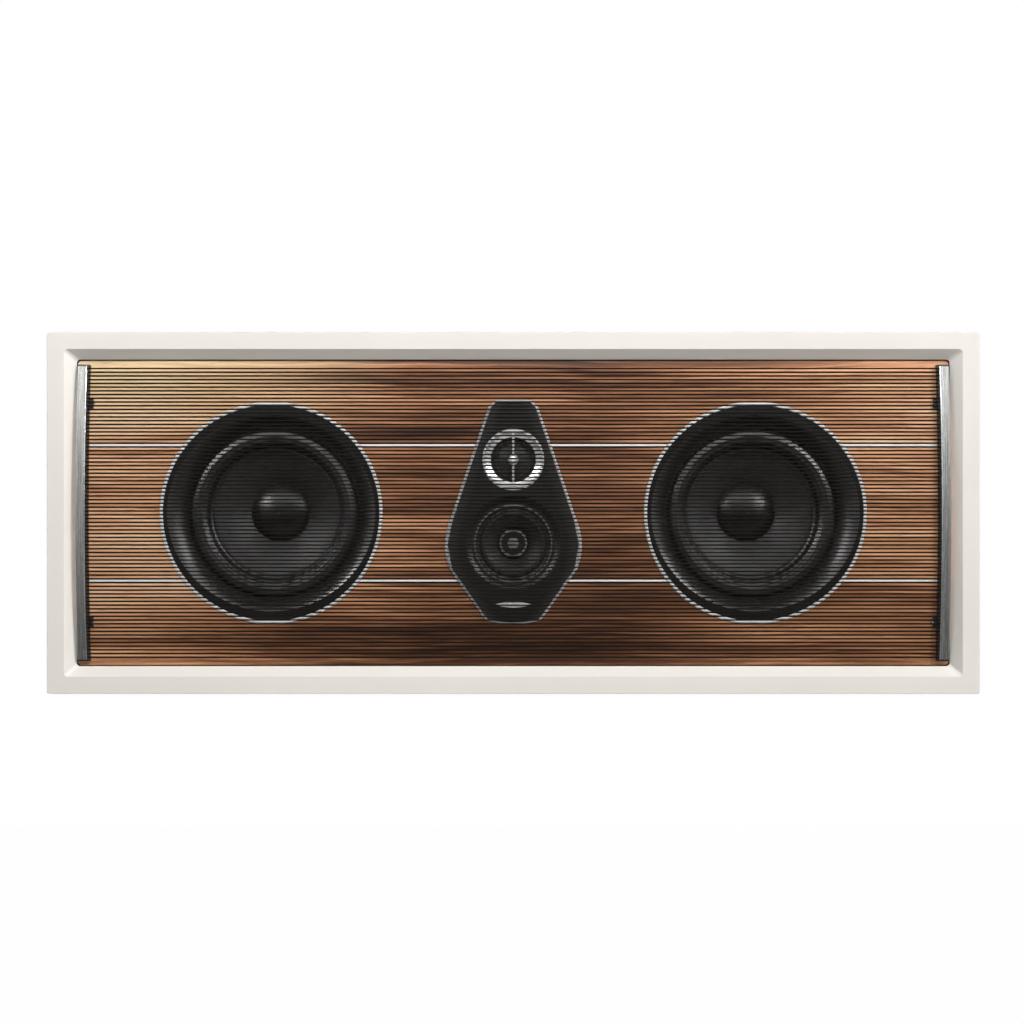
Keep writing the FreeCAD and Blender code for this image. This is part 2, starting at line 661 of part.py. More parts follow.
def make_strings():
    """All the strings as one net, joined to a thin anchor strip under each end bar."""
    start = BAR_INNER_X + ANCHOR_START
    radius = STRING_DIAMETER / 2 / math.cos(math.pi / STRING_SIDES)
    half = max(z for y, z in string_spots()) + STRING_DIAMETER
    low = STRING_LIFT - ANCHOR_THICKNESS / 2
    anchor = bowed_strip(start, start + ANCHOR_WIDTH, half, low, low + ANCHOR_THICKNESS)
    net = [mirrored(anchor)]
    for y, z in string_spots():
        turns = [math.pi * (2 * k + 1) / STRING_SIDES for k in range(STRING_SIDES)]
        corners = [(y + radius * math.cos(a), z + radius * math.sin(a)) for a in turns]
        wire = path(corners, lambda p: vec(-start - 0.5, p[0], p[1]))
        net.append(Part.Face(wire).extrude(vec(2 * start + 1, 0, 0)))
    return anchor.multiFuse(net)


def make_comb():
    """Right-hand black holder with one slot for each string."""
    inner = COMB_INNER_X
    outer = BAR_OUTER_X + COMB_SIDE
    body = bowed_strip(inner, outer, COMB_HALF_LENGTH, 0.0, BAR_LIFT)
    lug_band = bowed_strip(inner - LUG_REACH, inner + 1, COMB_HALF_LENGTH, 0.0, LUG_LIFT)
    for side in (1, -1):
        level = side * LUG_Z
        slab = box(inner - LUG_REACH, inner + 1, -FAR / 10, FAR / 10, level - LUG_HEIGHT / 2,
                   level + LUG_HEIGHT / 2)
        body = body.fuse(lug_band.common(slab))
        body = body.cut(pin_shape(level))
    half = max(z for y, z in string_spots()) + STRING_DIAMETER + COMB_SLOT_GAP
    low = STRING_LIFT - ANCHOR_THICKNESS / 2 - COMB_SLOT_GAP
    start = BAR_INNER_X + ANCHOR_START
    channel = bowed_strip(start - COMB_SLOT_GAP, start + ANCHOR_WIDTH + COMB_SLOT_GAP, half, low,
                          BAR_LIFT + 1)
    body = body.cut(channel)
    slots = []
    for y, z in string_spots():
        bottom = y + STRING_DIAMETER / 2 + COMB_SLOT_GAP
        slots.append(box(inner - 1, start, y - BAR_LIFT, bottom, z - COMB_SLOT_WIDTH / 2,
                         z + COMB_SLOT_WIDTH / 2))
    body = body.cut(Part.makeCompound(slots))
    for x, z in comb_peg_spots():
        if x > 0:
            body = body.fuse(rod(COMB_PEG_RADIUS, front_y(z) - 0.5, front_y(z) + COMB_PEG_LENGTH, x, z))
    return body


def pin_shape(level):
    end = COMB_INNER_X - LUG_REACH - GRILLE_PIN_SHOW
    return Part.makeCylinder(GRILLE_PIN_RADIUS, GRILLE_PIN_LENGTH,
                             vec(end, front_y(level, LUG_LIFT / 2), level), vec(1, 0, 0))


def make_grille_pins():
    pieces = []
    for level in (LUG_Z, -LUG_Z):
        pieces.append(pin_shape(level))
        pieces.append(mirrored(pin_shape(level)))
    return Part.makeCompound(pieces)


def make_bar():
    """Right-hand brushed bar that covers the string ends."""
    body = bowed_strip(BAR_INNER_X, BAR_OUTER_X, BAR_HALF_LENGTH, BAR_LIFT, BAR_LIFT + BAR_THICKNESS)
    front = [f for f in body.Faces if f.BoundBox.ZLength > BAR_HALF_LENGTH and f.BoundBox.XLength > 1]
    front.sort(key=lambda f: f.CenterOfMass.y)
    return body.makeChamfer(BAR_EDGE, [e for e in front[0].Edges if e.BoundBox.ZLength > BAR_HALF_LENGTH])


# Woofers

def flare_points():
    """Inner end, middle and outer end of the ring's round shoulder, and its underside, as (radius, y)."""
    inner = (RING_INNER_RADIUS, RING_INNER_Y)
    outer = (RING_BAND_RADIUS, front_y(0.0, RING_PROUD - RING_LIP_STEP) - RING_FLARE_LEAD)
    chord = math.hypot(outer[0] - inner[0], outer[1] - inner[1])
    away = ((outer[1] - inner[1]) / chord, (inner[0] - outer[0]) / chord)
    middle = [(a + b) / 2 + RING_FLARE_BULGE * c for a, b, c in zip(inner, outer, away)]
    under = [a - RING_SKIN * c for a, c in zip(middle, away)]
    return inner, tuple(middle), outer, tuple(under)


def make_ring(x):
    """Bowed trim ring: polished lip, flat band and a round shoulder that dips to the cone's surround."""
    inner, middle, outer, under = flare_points()
    top_y = PANEL_MID_Y - RING_PROUD - RING_STOCK
    foot = RING_RADIUS - RING_WALL
    spots = [inner, middle + ("arc",), outer, (outer[0], top_y)]
    spots += [(RING_RADIUS, top_y), (RING_RADIUS, WOOFER_SEAT_Y), (foot, WOOFER_SEAT_Y)]
    spots += [(foot, front_y(RING_RADIUS) + RING_SKIN), under, (inner[0] + RING_SKIN, inner[1])]
    blank = turned(spots, x, 0)
    lip_radius = RING_RADIUS - RING_LIP_WIDTH
    lip = blank.common(tube(RING_RADIUS + 1, lip_radius, -FAR / 10, FAR / 10, x, 0))
    lip = lip.common(bowed_block(x - FAR, x + FAR, FAR / 5, RING_PROUD, FAR / 10)).Solids[0]
    lip_edges = [e for e in lip.Edges if e.BoundBox.YMax < 0 and e.BoundBox.XLength > 2 * lip_radius + 1]
    lip = lip.makeChamfer(RING_LIP_CHAMFER, lip_edges)
    band = blank.common(rod(lip_radius, -FAR / 10, FAR / 10, x, 0))
    band = band.common(bowed_block(x - FAR, x + FAR, FAR / 5, RING_PROUD - RING_LIP_STEP, FAR / 10))
    return lip.fuse(band)


def make_basket(x):
    front = WOOFER_FRONT_Y
    seat = WOOFER_SEAT_Y
    rear = BASKET_REAR_RADIUS
    ledge_y = SPIDER_Y + SPIDER_SKIN
    shoulder = WOOFER_HOLE_RADIUS - BASKET_HOLE_GAP
    step = shoulder - BASKET_STEP_WALL
    step_end = SURROUND_SEAT_Y + WOOFER_FLANGE
    waist = shoulder - BASKET_WAIST_INSET
    ledge_in = SPIDER_OUTER - BASKET_LEDGE
    spots = [(SURROUND_OUTER, SURROUND_SEAT_Y), (step, SURROUND_SEAT_Y), (step, front)]
    spots += [(WOOFER_FLANGE_RADIUS, front), (WOOFER_FLANGE_RADIUS, seat)]
    spots += [(shoulder, seat), (shoulder, step_end), (waist, step_end)]
    spots += [(rear, ledge_y), (rear, TOP_PLATE_Y), (BASKET_NECK_RADIUS, TOP_PLATE_Y)]
    spots += [(BASKET_NECK_RADIUS, TOP_PLATE_Y - BASKET_REAR_PLATE),
              (rear - BASKET_SKIN, TOP_PLATE_Y - BASKET_REAR_PLATE)]
    spots += [(rear - BASKET_SKIN, ledge_y + BASKET_SKIN), (ledge_in, ledge_y + BASKET_SKIN),
              (ledge_in, ledge_y)]
    spots += [(rear - BASKET_SKIN + BASKET_DRAFT, ledge_y)]
    spots += [(waist - BASKET_SKIN - BASKET_DRAFT, step_end), (SURROUND_OUTER, step_end)]
    body = turned(spots, x, 0)
    pitch = 2 * math.pi / BASKET_WINDOWS
    open_angle = pitch - math.radians(BASKET_SPOKE_ANGLE)
    wide = WOOFER_HOLE_RADIUS + WINDOW_REACH
    near = SPIDER_OUTER - WINDOW_INSET
    for i in range(BASKET_WINDOWS):
        first = i * pitch + math.pi / 2 - open_angle / 2
        last = first + open_angle
        spots = [(near, first), (wide, first), (wide * 1.1, (first + last) / 2), (wide, last), (near, last)]
        window = prism([(x + r * math.cos(a), r * math.sin(a)) for r, a in spots],
                       PANEL_BACK_Y + WINDOW_START, SPIDER_Y - WINDOW_STOP)
        body = body.cut(window)
    for sx, sz in woofer_screw_spots(x):
        body = body.cut(rod(SCREW_RADIUS + PILOT_GAP, front - 1, seat + 1, sx, sz))
    return body


def rolled_edge(outer, inner, lip, glue, skin, turn_y, seat_y, inner_y, x, z):
    """Rubber edge of even skin: a lip on its seat, a half roll that turns at turn_y, a glued inner rim."""
    side = 1 if turn_y > seat_y else -1
    tuck = max(side, 0) * skin
    begin = (outer - tuck, seat_y - skin)
    middle = ((outer + inner) / 2, turn_y)
    end = (inner + tuck, inner_y)
    roll = Part.Arc(*[vec(r, y, 0) for r, y in (begin, middle, end)]).toShape().Curve
    centre = roll.Center
    reach = roll.Radius + side * skin
    outer_back = centre.x + math.sqrt(reach ** 2 - (seat_y - centre.y) ** 2)
    inner_back = centre.x - math.sqrt(reach ** 2 - (inner_y + skin - centre.y) ** 2)
    spots = [(outer + lip, seat_y - skin), (outer + lip, seat_y), (outer_back, seat_y)]
    spots += [(centre.x, centre.y + side * reach, "arc"), (inner_back, inner_y + skin)]
    spots += [(inner - glue, inner_y + skin), (inner - glue, inner_y), end, middle + ("arc",), begin]
    return turned(spots, x, z)


def make_surround(x):
    return rolled_edge(SURROUND_OUTER, SURROUND_INNER, SURROUND_LIP, SURROUND_GLUE, SURROUND_SKIN,
                       SURROUND_CREST_Y, SURROUND_SEAT_Y, SURROUND_INNER_Y, x, 0)


def cone_face(rim, neck, bulge):
    """Front curve of a cone from its rim to its neck, pushed forward in the middle by bulge."""
    return rim, ((rim[0] + neck[0]) / 2 - bulge, (rim[1] + neck[1]) / 2 - bulge), neck


def cone_body(face, flat, skin, x, z):
    """Cone of even skin behind a front curve, with a flat rim for its edge to sit on."""
    rim, middle, neck = face
    spots = [(rim[0] + flat, rim[1]), (rim[0] + flat, rim[1] + skin)]
    spots += [(middle[0] + skin * 0.8, middle[1] + skin * 0.8, "arc"), (neck[0], neck[1] + 2 * skin)]
    spots += [neck, (middle[0], middle[1], "arc"), rim]
    return turned(spots, x, z)


def woofer_cone_face():
    rim = (SURROUND_INNER - SURROUND_GLUE - CONE_RIM_GAP, SURROUND_INNER_Y + SURROUND_SKIN)
    return cone_face(rim, (COIL_RADIUS + COIL_FORMER + PILOT_GAP, CONE_NECK_Y), CONE_BULGE)


def make_cone(x):
    return cone_body(woofer_cone_face(), SURROUND_GLUE, CONE_SKIN, x, 0)


def make_dust_cap(x):
    skin = CAP_SKIN
    r = CAP_RADIUS
    edge = arc_y(*woofer_cone_face(), r) - PILOT_GAP
    base = edge - skin
    spots = [(0, base - CAP_HEIGHT), bowl_middle(r, CAP_HEIGHT, base), (r, base), (r, edge),
             (r - skin, edge), (r - skin, base)]
    spots += [bowl_middle(r - skin, CAP_HEIGHT - skin, base), (0, base - CAP_HEIGHT + skin)]
    return turned(spots, x, 0)


def make_coil(x):
    inner = COIL_RADIUS
    former = COIL_RADIUS + COIL_FORMER
    wound = former + COIL_WINDING
    start = COIL_END_Y - COIL_WINDING_LENGTH
    spots = [(inner, CONE_NECK_Y - 2.0), (former, CONE_NECK_Y - 2.0), (former, start), (wound, start)]
    spots += [(wound, COIL_END_Y), (inner, COIL_END_Y)]
    return turned(spots, x, 0)


def make_spider(x):
    """Corrugated cloth disc that centres the coil."""
    inner = COIL_RADIUS + COIL_FORMER
    flat = 5.0
    wave_start = inner + 3.0
    step = (SPIDER_OUTER - flat - wave_start) / SPIDER_WAVES
    crest = []
    for i in range(SPIDER_WAVES):
        lean = 1 if i % 2 else -1
        crest.append((wave_start + (i + 0.5) * step, lean * SPIDER_WAVE))
        crest.append((wave_start + (i + 1) * step, 0.0))
    front = [(inner, SPIDER_Y), (wave_start, SPIDER_Y)] + [(r, SPIDER_Y + h) for r,
                                                           h in crest] + [(SPIDER_OUTER, SPIDER_Y)]
    back = [(r, y + SPIDER_SKIN) for r, y in reversed(front)]
    return turned(front + back, x, 0)


def make_top_plate(x):
    return tube(TOP_PLATE_RADIUS, COIL_RADIUS + COIL_FORMER + COIL_WINDING + COIL_GAP, TOP_PLATE_Y,
                MAGNET_Y, x, 0)


def make_magnet(x):
    edge = 1.5
    spots = [(MAGNET_BORE, MAGNET_Y), (MAGNET_RADIUS - edge, MAGNET_Y), (MAGNET_RADIUS, MAGNET_Y + edge)]
    spots += [(MAGNET_RADIUS, BACK_PLATE_Y - edge), (MAGNET_RADIUS - edge, BACK_PLATE_Y),
              (MAGNET_BORE, BACK_PLATE_Y)]
    return turned(spots, x, 0)


def make_yoke(x):
    """Back plate and pole in one turned piece, vented through the middle."""
    pole = COIL_RADIUS - POLE_GAP
    edge = 2.0
    spots = [(POLE_VENT_RADIUS, TOP_PLATE_Y - POLE_LEAD), (pole, TOP_PLATE_Y - POLE_LEAD),
             (pole, BACK_PLATE_Y)]
    spots += [(TOP_PLATE_RADIUS, BACK_PLATE_Y), (TOP_PLATE_RADIUS, MOTOR_END_Y - edge),
              (TOP_PLATE_RADIUS - edge, MOTOR_END_Y)]
    spots += [(POLE_VENT_RADIUS, MOTOR_END_Y)]
    return turned(spots, x, 0)


def make_woofer_screws():
    pieces = []
    for x in (WOOFER_X, -WOOFER_X):
        for sx, sz in woofer_screw_spots(x):
            pieces.append(screw(sx, sz, WOOFER_FRONT_Y, SCREW_HEAD_RADIUS, SCREW_HEAD, SCREW_RADIUS,
                                SCREW_LENGTH, 1))
    return Part.makeCompound(pieces)


def both(maker):
    return Part.makeCompound([maker(-WOOFER_X), maker(WOOFER_X)])


# Centre plate

def make_plate():
    body = plate_block(0.0, -FAR / 20, PLATE_BACK_Y)
    body = body.makeFillet(PLATE_CORNER_ROUND, [e for e in body.Edges if e.BoundBox.YLength > PLATE_PROUD])
    body = body.common(bowed_block(-FAR, FAR, FAR / 5, PLATE_PROUD, FAR / 10)).Solids[0]
    front = min(body.Faces, key=lambda f: f.CenterOfMass.y)
    body = body.makeChamfer(PLATE_BEVEL, front.Edges)
    flare_front = PANEL_MID_Y - PLATE_PROUD - 2.0
    slope = (MID_FLARE_RADIUS - MID_BORE_RADIUS) / (MID_FLARE_Y - front_y(MID_Z, PLATE_PROUD))
    wide = MID_BORE_RADIUS + slope * (MID_FLARE_Y - flare_front)
    spots = [(0, flare_front), (wide, flare_front), (MID_BORE_RADIUS, MID_FLARE_Y),
             (MID_BORE_RADIUS, 0), (0, 0)]
    body = body.cut(turned(spots, 0, MID_Z))
    body = body.cut(rod(TWEETER_RING_RADIUS + PILOT_GAP, -FAR / 20, TWEETER_RING_SEAT_Y, 0, TWEETER_Z))
    body = body.cut(rod(TWEETER_SPIGOT_RADIUS + PILOT_GAP, -FAR / 20, 0, 0, TWEETER_Z))
    return drill_rear_screws(body)


def rear_screw_spots():
    """Screws seen from behind, as (x, z, depth of the head's seat, length)."""
    plate_length = PANEL_BACK_Y - PLATE_BACK_Y + PLATE_SCREW_BITE
    spots = [(x, z, PANEL_BACK_Y, plate_length) for x, z in PLATE_SCREW_SPOTS]
    strap_x = TWEETER_HOLE_RADIUS + STRAP_THICKNESS + 1.0 + STRAP_FOOT / 2
    cup_circle = (MID_CUP_RADIUS + MID_CUP_FLANGE_RADIUS) / 2
    for side in (1, -1):
        spots.append((side * strap_x, TWEETER_Z, PANEL_BACK_Y + STRAP_THICKNESS, SCREW_LENGTH))
        terminal_x = TERMINAL_X + side * (TERMINAL_WIDTH + TERMINAL_FLANGE_MARGIN) / 2
        spots.append((terminal_x, 0.0, PANEL_BACK_Y + TERMINAL_FLANGE, SCREW_LENGTH))
    for x, z in ring_spots(4, cup_circle, 0.0, MID_Z, math.pi / 4):
        spots.append((x, z, PANEL_BACK_Y + MID_CUP_FLANGE, SCREW_LENGTH))
    for x, z in standoff_spots():
        spots.append((x, z, BOARD_TOP_Y, SCREW_LENGTH + BOARD_STANDOFF))
    return spots


def drill_rear_screws(body):
    for x, z, seat, length in rear_screw_spots():
        body = body.cut(rod(REAR_SCREW_RADIUS + PILOT_GAP, seat - length, seat + 1, x, z))
    return body


def make_rear_screws():
    pieces = []
    for x, z, seat, length in rear_screw_spots():
        pieces.append(screw(x, z, seat, REAR_SCREW_HEAD_RADIUS, SCREW_HEAD, REAR_SCREW_RADIUS, length, -1))
    return Part.makeCompound(pieces)


def make_badge():
    """Plain lens-shaped metal badge."""
    spots = [(-BADGE_HALF_WIDTH, BADGE_Z), (0, BADGE_Z + BADGE_HALF_HEIGHT, "arc")]
    spots += [(BADGE_HALF_WIDTH, BADGE_Z), (0, BADGE_Z - BADGE_HALF_HEIGHT, "arc")]
    lens = prism(spots, -FAR / 20, FAR / 20)
    strip = bowed_strip(-BADGE_HALF_WIDTH - 1, BADGE_HALF_WIDTH + 1, -BADGE_Z + 20, PLATE_PROUD,
                        PLATE_PROUD + BADGE_THICKNESS)
    return lens.common(strip)


# Midrange

def make_mid_chassis():
    front = PLATE_BACK_Y
    back = front + MID_FLANGE
    skin = MID_BASKET_SKIN
    rear = MID_BASKET_REAR_RADIUS
    rear_y = MID_BASKET_REAR_Y
    throat = MID_SURROUND_OUTER + MID_ROLL_GAP
    mouth = throat + skin + 0.5
    inner = MID_COIL_RADIUS + 4.0
    spots = [(throat, front), (MID_FLANGE_RADIUS, front), (MID_FLANGE_RADIUS, back), (mouth, back)]
    spots += [(rear, rear_y - 2.0), (rear, rear_y), (inner, rear_y), (inner, rear_y - skin),
              (rear - skin, rear_y - skin)]
    spots += [(mouth - skin, back), (throat, back)]
    body = turned(spots, 0, MID_Z)
    for a in range(4):
        turn = math.pi / 4 + a * math.pi / 2
        cx = (mouth - 3.0) * math.cos(turn)
        cz = MID_Z + (mouth - 3.0) * math.sin(turn)
        body = body.cut(rod(7.0, back + 1.5, rear_y - skin - 1.0, cx, cz))
    return body


def make_mid_surround():
    return rolled_edge(MID_SURROUND_OUTER, MID_SURROUND_INNER, MID_SURROUND_LIP, MID_SURROUND_GLUE,
                       MID_SURROUND_SKIN, PLATE_BACK_Y + MID_SURROUND_VALLEY, PLATE_BACK_Y, PLATE_BACK_Y,
                       0, MID_Z)


def mid_cone_face():
    rim = (MID_SURROUND_INNER - MID_SURROUND_GLUE - 0.3, PLATE_BACK_Y + MID_SURROUND_SKIN)
    return cone_face(rim, (MID_COIL_RADIUS + MID_COIL_FORMER + PILOT_GAP, MID_NECK_Y), MID_CONE_BULGE)


def make_mid_cone():
    return cone_body(mid_cone_face(), MID_SURROUND_GLUE, MID_CONE_SKIN, 0, MID_Z)


def make_mid_cap():
    """Round cap with a flat turned face and a raised rim."""
    r = MID_CAP_RADIUS
    foot = arc_y(*mid_cone_face(), r) - PILOT_GAP
    front = foot - MID_CAP_HEIGHT
    spots = [(0, front + 0.5), (r - 2.6, front + 0.5), (r - 2.1, front), (r - 0.8, front), (r, front + 0.8)]
    spots += [(r, foot), (r - 1.0, foot), (r - 1.6, front + 1.6), (0, front + 1.6)]
    return turned(spots, 0, MID_Z)


def make_mid_coil():
    return tube(MID_COIL_RADIUS + MID_COIL_FORMER, MID_COIL_RADIUS, MID_NECK_Y - 1.5, MID_COIL_END_Y, 0,
                MID_Z)


def make_mid_motor():
    y0 = MID_BASKET_REAR_Y
    y1 = y0 + MID_TOP_PLATE
    y2 = y1 + MID_MAGNET_HEIGHT
    y3 = y2 + MID_BACK_PLATE
    bore = MID_COIL_RADIUS + MID_COIL_FORMER + POLE_GAP
    pole = MID_COIL_RADIUS - POLE_GAP
    wide = MID_MOTOR_RADIUS
    spots = [(bore, y0), (wide - 2, y0), (wide - 2, y1), (wide, y1), (wide, y2), (wide - 2, y2),
             (wide - 2, y3)]
    spots += [(0, y3), (0, y0 - 1), (pole, y0 - 1), (pole, y2), (bore + 2, y2), (bore + 2, y1), (bore, y1)]
    return turned(spots, 0, MID_Z)


def make_mid_cup():
    """Sealed cup behind the midrange; its front tube presses the driver against the plate."""
    wall = MID_CUP_WALL
    front = PLATE_BACK_Y + MID_FLANGE
    tube_out = MID_FLANGE_RADIUS
    flange_y = PANEL_BACK_Y + MID_CUP_FLANGE
    end = PANEL_BACK_Y + MID_CUP_DEPTH
    r = MID_CUP_RADIUS
    spots = [(tube_out - wall, front), (tube_out, front), (tube_out, PANEL_BACK_Y),
             (MID_CUP_FLANGE_RADIUS, PANEL_BACK_Y)]
    spots += [(MID_CUP_FLANGE_RADIUS, flange_y), (r, flange_y), (r, end - 4.0), (r - 4.0, end), (0, end)]
    spots += [(0, end - wall), (r - 5.0, end - wall), (r - wall, end - 5.0), (r - wall, flange_y),
              (tube_out - wall, flange_y)]
    return drill_rear_screws(turned(spots, 0, MID_Z))


# Tweeter

def make_tweeter_ring():
    """Polished ring with a hollow mouth; its front follows the bow of the plate."""
    lift = PLATE_PROUD + TWEETER_RING_PROUD
    front = front_y(TWEETER_Z, lift)
    far_front = front_y(0, lift) - 1.0
    r = TWEETER_RING_RADIUS
    hollow = TWEETER_MOUTH_HOLLOW
    middle_r = (TWEETER_MOUTH_RADIUS + TWEETER_THROAT_RADIUS) / 2 - hollow
    middle_y = (front + TWEETER_THROAT_Y) / 2 + hollow
    spots = [(TWEETER_MOUTH_RADIUS, far_front), (r, far_front), (r, TWEETER_RING_SEAT_Y)]
    spots += [(TWEETER_SPIGOT_RADIUS, TWEETER_RING_SEAT_Y), (TWEETER_SPIGOT_RADIUS, PLATE_BACK_Y)]
    spots += [(TWEETER_THROAT_RADIUS, PLATE_BACK_Y), (TWEETER_THROAT_RADIUS, TWEETER_THROAT_Y),
              (middle_r, middle_y, "arc"), (TWEETER_MOUTH_RADIUS, front)]
    blank = turned(spots, 0, TWEETER_Z)
    body = blank.common(bowed_block(-FAR, FAR, FAR / 5, lift, FAR / 10)).Solids[0]
    proud = [e for e in body.Edges if e.BoundBox.YMax < TWEETER_RING_SEAT_Y - 0.1]
    rim = [e for e in proud if e.BoundBox.XLength > 2 * r - 0.1]
    return body.makeChamfer(TWEETER_RING_EDGE, rim)


def make_phase_bar():
    """Slim upright bar with a polished bullet in front of the dome."""
    bar_front = BULLET_FRONT_Y + PHASE_BAR_SETBACK
    bar_back = bar_front + PHASE_BAR_DEPTH
    reach = (TWEETER_MOUTH_RADIUS + TWEETER_THROAT_RADIUS) / 2
    half = PHASE_BAR_WIDTH / 2
    spots = [(-half, TWEETER_Z - reach), (half, TWEETER_Z - reach), (half, TWEETER_Z + reach),
             (-half, TWEETER_Z + reach)]
    body = prism(spots, bar_front, bar_back)
    foot_z = TWEETER_Z - reach
    spots = [(-PHASE_FOOT_HALF, foot_z), (PHASE_FOOT_HALF, foot_z), (half, foot_z + PHASE_FOOT_HEIGHT),
             (-half, foot_z + PHASE_FOOT_HEIGHT)]
    body = body.fuse(prism(spots, bar_front, bar_back))
    r = BULLET_RADIUS
    spots = [(0, BULLET_FRONT_Y), (r * 0.75, BULLET_FRONT_Y + 0.5, "arc"), (r, bar_front + 1.0),
             (r * 0.8, bar_back), (0, BULLET_BACK_Y)]
    body = body.fuse(turned(spots, 0, TWEETER_Z))
    inside = turned([(0, -FAR / 20), (TWEETER_MOUTH_RADIUS, -FAR / 20), (TWEETER_MOUTH_RADIUS, 0),
                     (0, 0)], 0, TWEETER_Z)
    return body.common(inside).cut(make_tweeter_ring())


def make_tweeter_dome():
    """Soft dome and the coil tube under it."""
    skin = TWEETER_DOME_SKIN
    r = TWEETER_DOME_RADIUS
    rise = TWEETER_DOME_HEIGHT
    base = TWEETER_DOME_Y
    end = base + TWEETER_COIL_LENGTH
    inner = r - TWEETER_COIL_SKIN
    spots = [(0, base - rise), bowl_middle(r, rise, base), (r, base), (r, end), (inner, end), (inner, base)]
    spots += [bowl_middle(inner, rise - skin, base), (0, base - rise + skin)]
    return turned(spots, 0, TWEETER_Z)


def make_tweeter_surround():
    skin = TWEETER_DOME_SKIN
    y = TWEETER_DOME_Y
    r = TWEETER_DOME_RADIUS
    outer = TWEETER_SURROUND_OUTER
    middle = (r + outer - TWEETER_SURROUND_LIP) / 2
    inner_end = outer - TWEETER_SURROUND_LIP
    spots = [(r, y), (middle, y - 1.4, "arc"), (inner_end, y), (outer, y), (outer, y + skin),
             (inner_end - skin, y + skin)]
    spots += [(middle, y - 1.4 + skin, "arc"), (r, y + skin)]
    return turned(spots, 0, TWEETER_Z)


def make_tweeter_body():
    gap_in = TWEETER_DOME_RADIUS - TWEETER_COIL_SKIN - TWEETER_GAP_SIDE
    gap_out = TWEETER_DOME_RADIUS + TWEETER_GAP_SIDE
    seat = TWEETER_DOME_Y + TWEETER_DOME_SKIN
    pole_y = seat + 1.2
    bottom = pole_y + TWEETER_GAP_DEPTH
    flange_y = PLATE_BACK_Y + TWEETER_FLANGE
    spots = [(0, pole_y), (gap_in, pole_y), (gap_in, bottom), (gap_out, bottom), (gap_out, seat)]
    spots += [(TWEETER_SURROUND_OUTER, seat), (TWEETER_SURROUND_OUTER, PLATE_BACK_Y),
              (TWEETER_FLANGE_RADIUS, PLATE_BACK_Y)]
    spots += [(TWEETER_FLANGE_RADIUS, flange_y), (TWEETER_BODY_RADIUS, flange_y)]
    spots += [(TWEETER_BODY_RADIUS, TWEETER_BODY_END_Y - 2.0),
              (TWEETER_BODY_RADIUS - 2.0, TWEETER_BODY_END_Y), (0, TWEETER_BODY_END_Y)]
    return turned(spots, 0, TWEETER_Z)


def make_strap():
    """Bent steel strap that holds the tweeter's body forward."""
    t = STRAP_THICKNESS
    y0 = PANEL_BACK_Y
    y1 = TWEETER_BODY_END_Y
    inner = TWEETER_HOLE_RADIUS + 1.0
    outer = inner + t
    foot = outer + STRAP_FOOT
    spots = [(-foot, y0), (-inner, y0), (-inner, y1), (inner, y1), (inner, y0), (foot, y0), (foot, y0 + t)]
    spots += [(outer, y0 + t), (outer, y1 + t), (-outer, y1 + t), (-outer, y0 + t), (-foot, y0 + t)]
    low = TWEETER_Z - STRAP_WIDTH / 2
    wire = path(spots, lambda p: vec(p[0], p[1], low))
    return drill_rear_screws(Part.Face(wire).extrude(vec(0, 0, STRAP_WIDTH)))


# Crossover and terminals

def standoff_spots():
    half_w = BOARD_WIDTH / 2 - STANDOFF_INSET
    half_h = BOARD_HEIGHT / 2 - STANDOFF_INSET
    return [(BOARD_X + sx * half_w, sz * half_h) for sx in (1, -1) for sz in (1, -1)]


def make_board():
    half_w = BOARD_WIDTH / 2
    half_h = BOARD_HEIGHT / 2
    body = box(BOARD_X - half_w, BOARD_X + half_w, BOARD_BACK_Y, BOARD_TOP_Y, -half_h, half_h)
    for x, z in standoff_spots():
        body = body.fuse(rod(STANDOFF_RADIUS, PANEL_BACK_Y, BOARD_BACK_Y, x, z))
    return drill_rear_screws(body)


def make_inductors():
    return Part.makeCompound([tube(r, bore, BOARD_TOP_Y, BOARD_TOP_Y + h, x, z) for x, z, r, bore,
                              h in INDUCTOR_SPOTS])


def make_capacitors():
    pieces = []
    for x, z, r, length in CAPACITOR_SPOTS:
        pieces.append(Part.makeCylinder(r, length, vec(x - length / 2, BOARD_TOP_Y + r, z), vec(1, 0, 0)))
    return Part.makeCompound(pieces)


def make_resistors():
    dx, dy, dz = RESISTOR_SIZE
    pieces = []
    for x, z in RESISTOR_SPOTS:
        pieces.append(box(x - dx / 2, x + dx / 2, BOARD_TOP_Y, BOARD_TOP_Y + dy, z - dz / 2, z + dz / 2))
    return Part.makeCompound(pieces)


def button_spots():
    return [TERMINAL_X - BUTTON_SPACING / 2, TERMINAL_X + BUTTON_SPACING / 2]


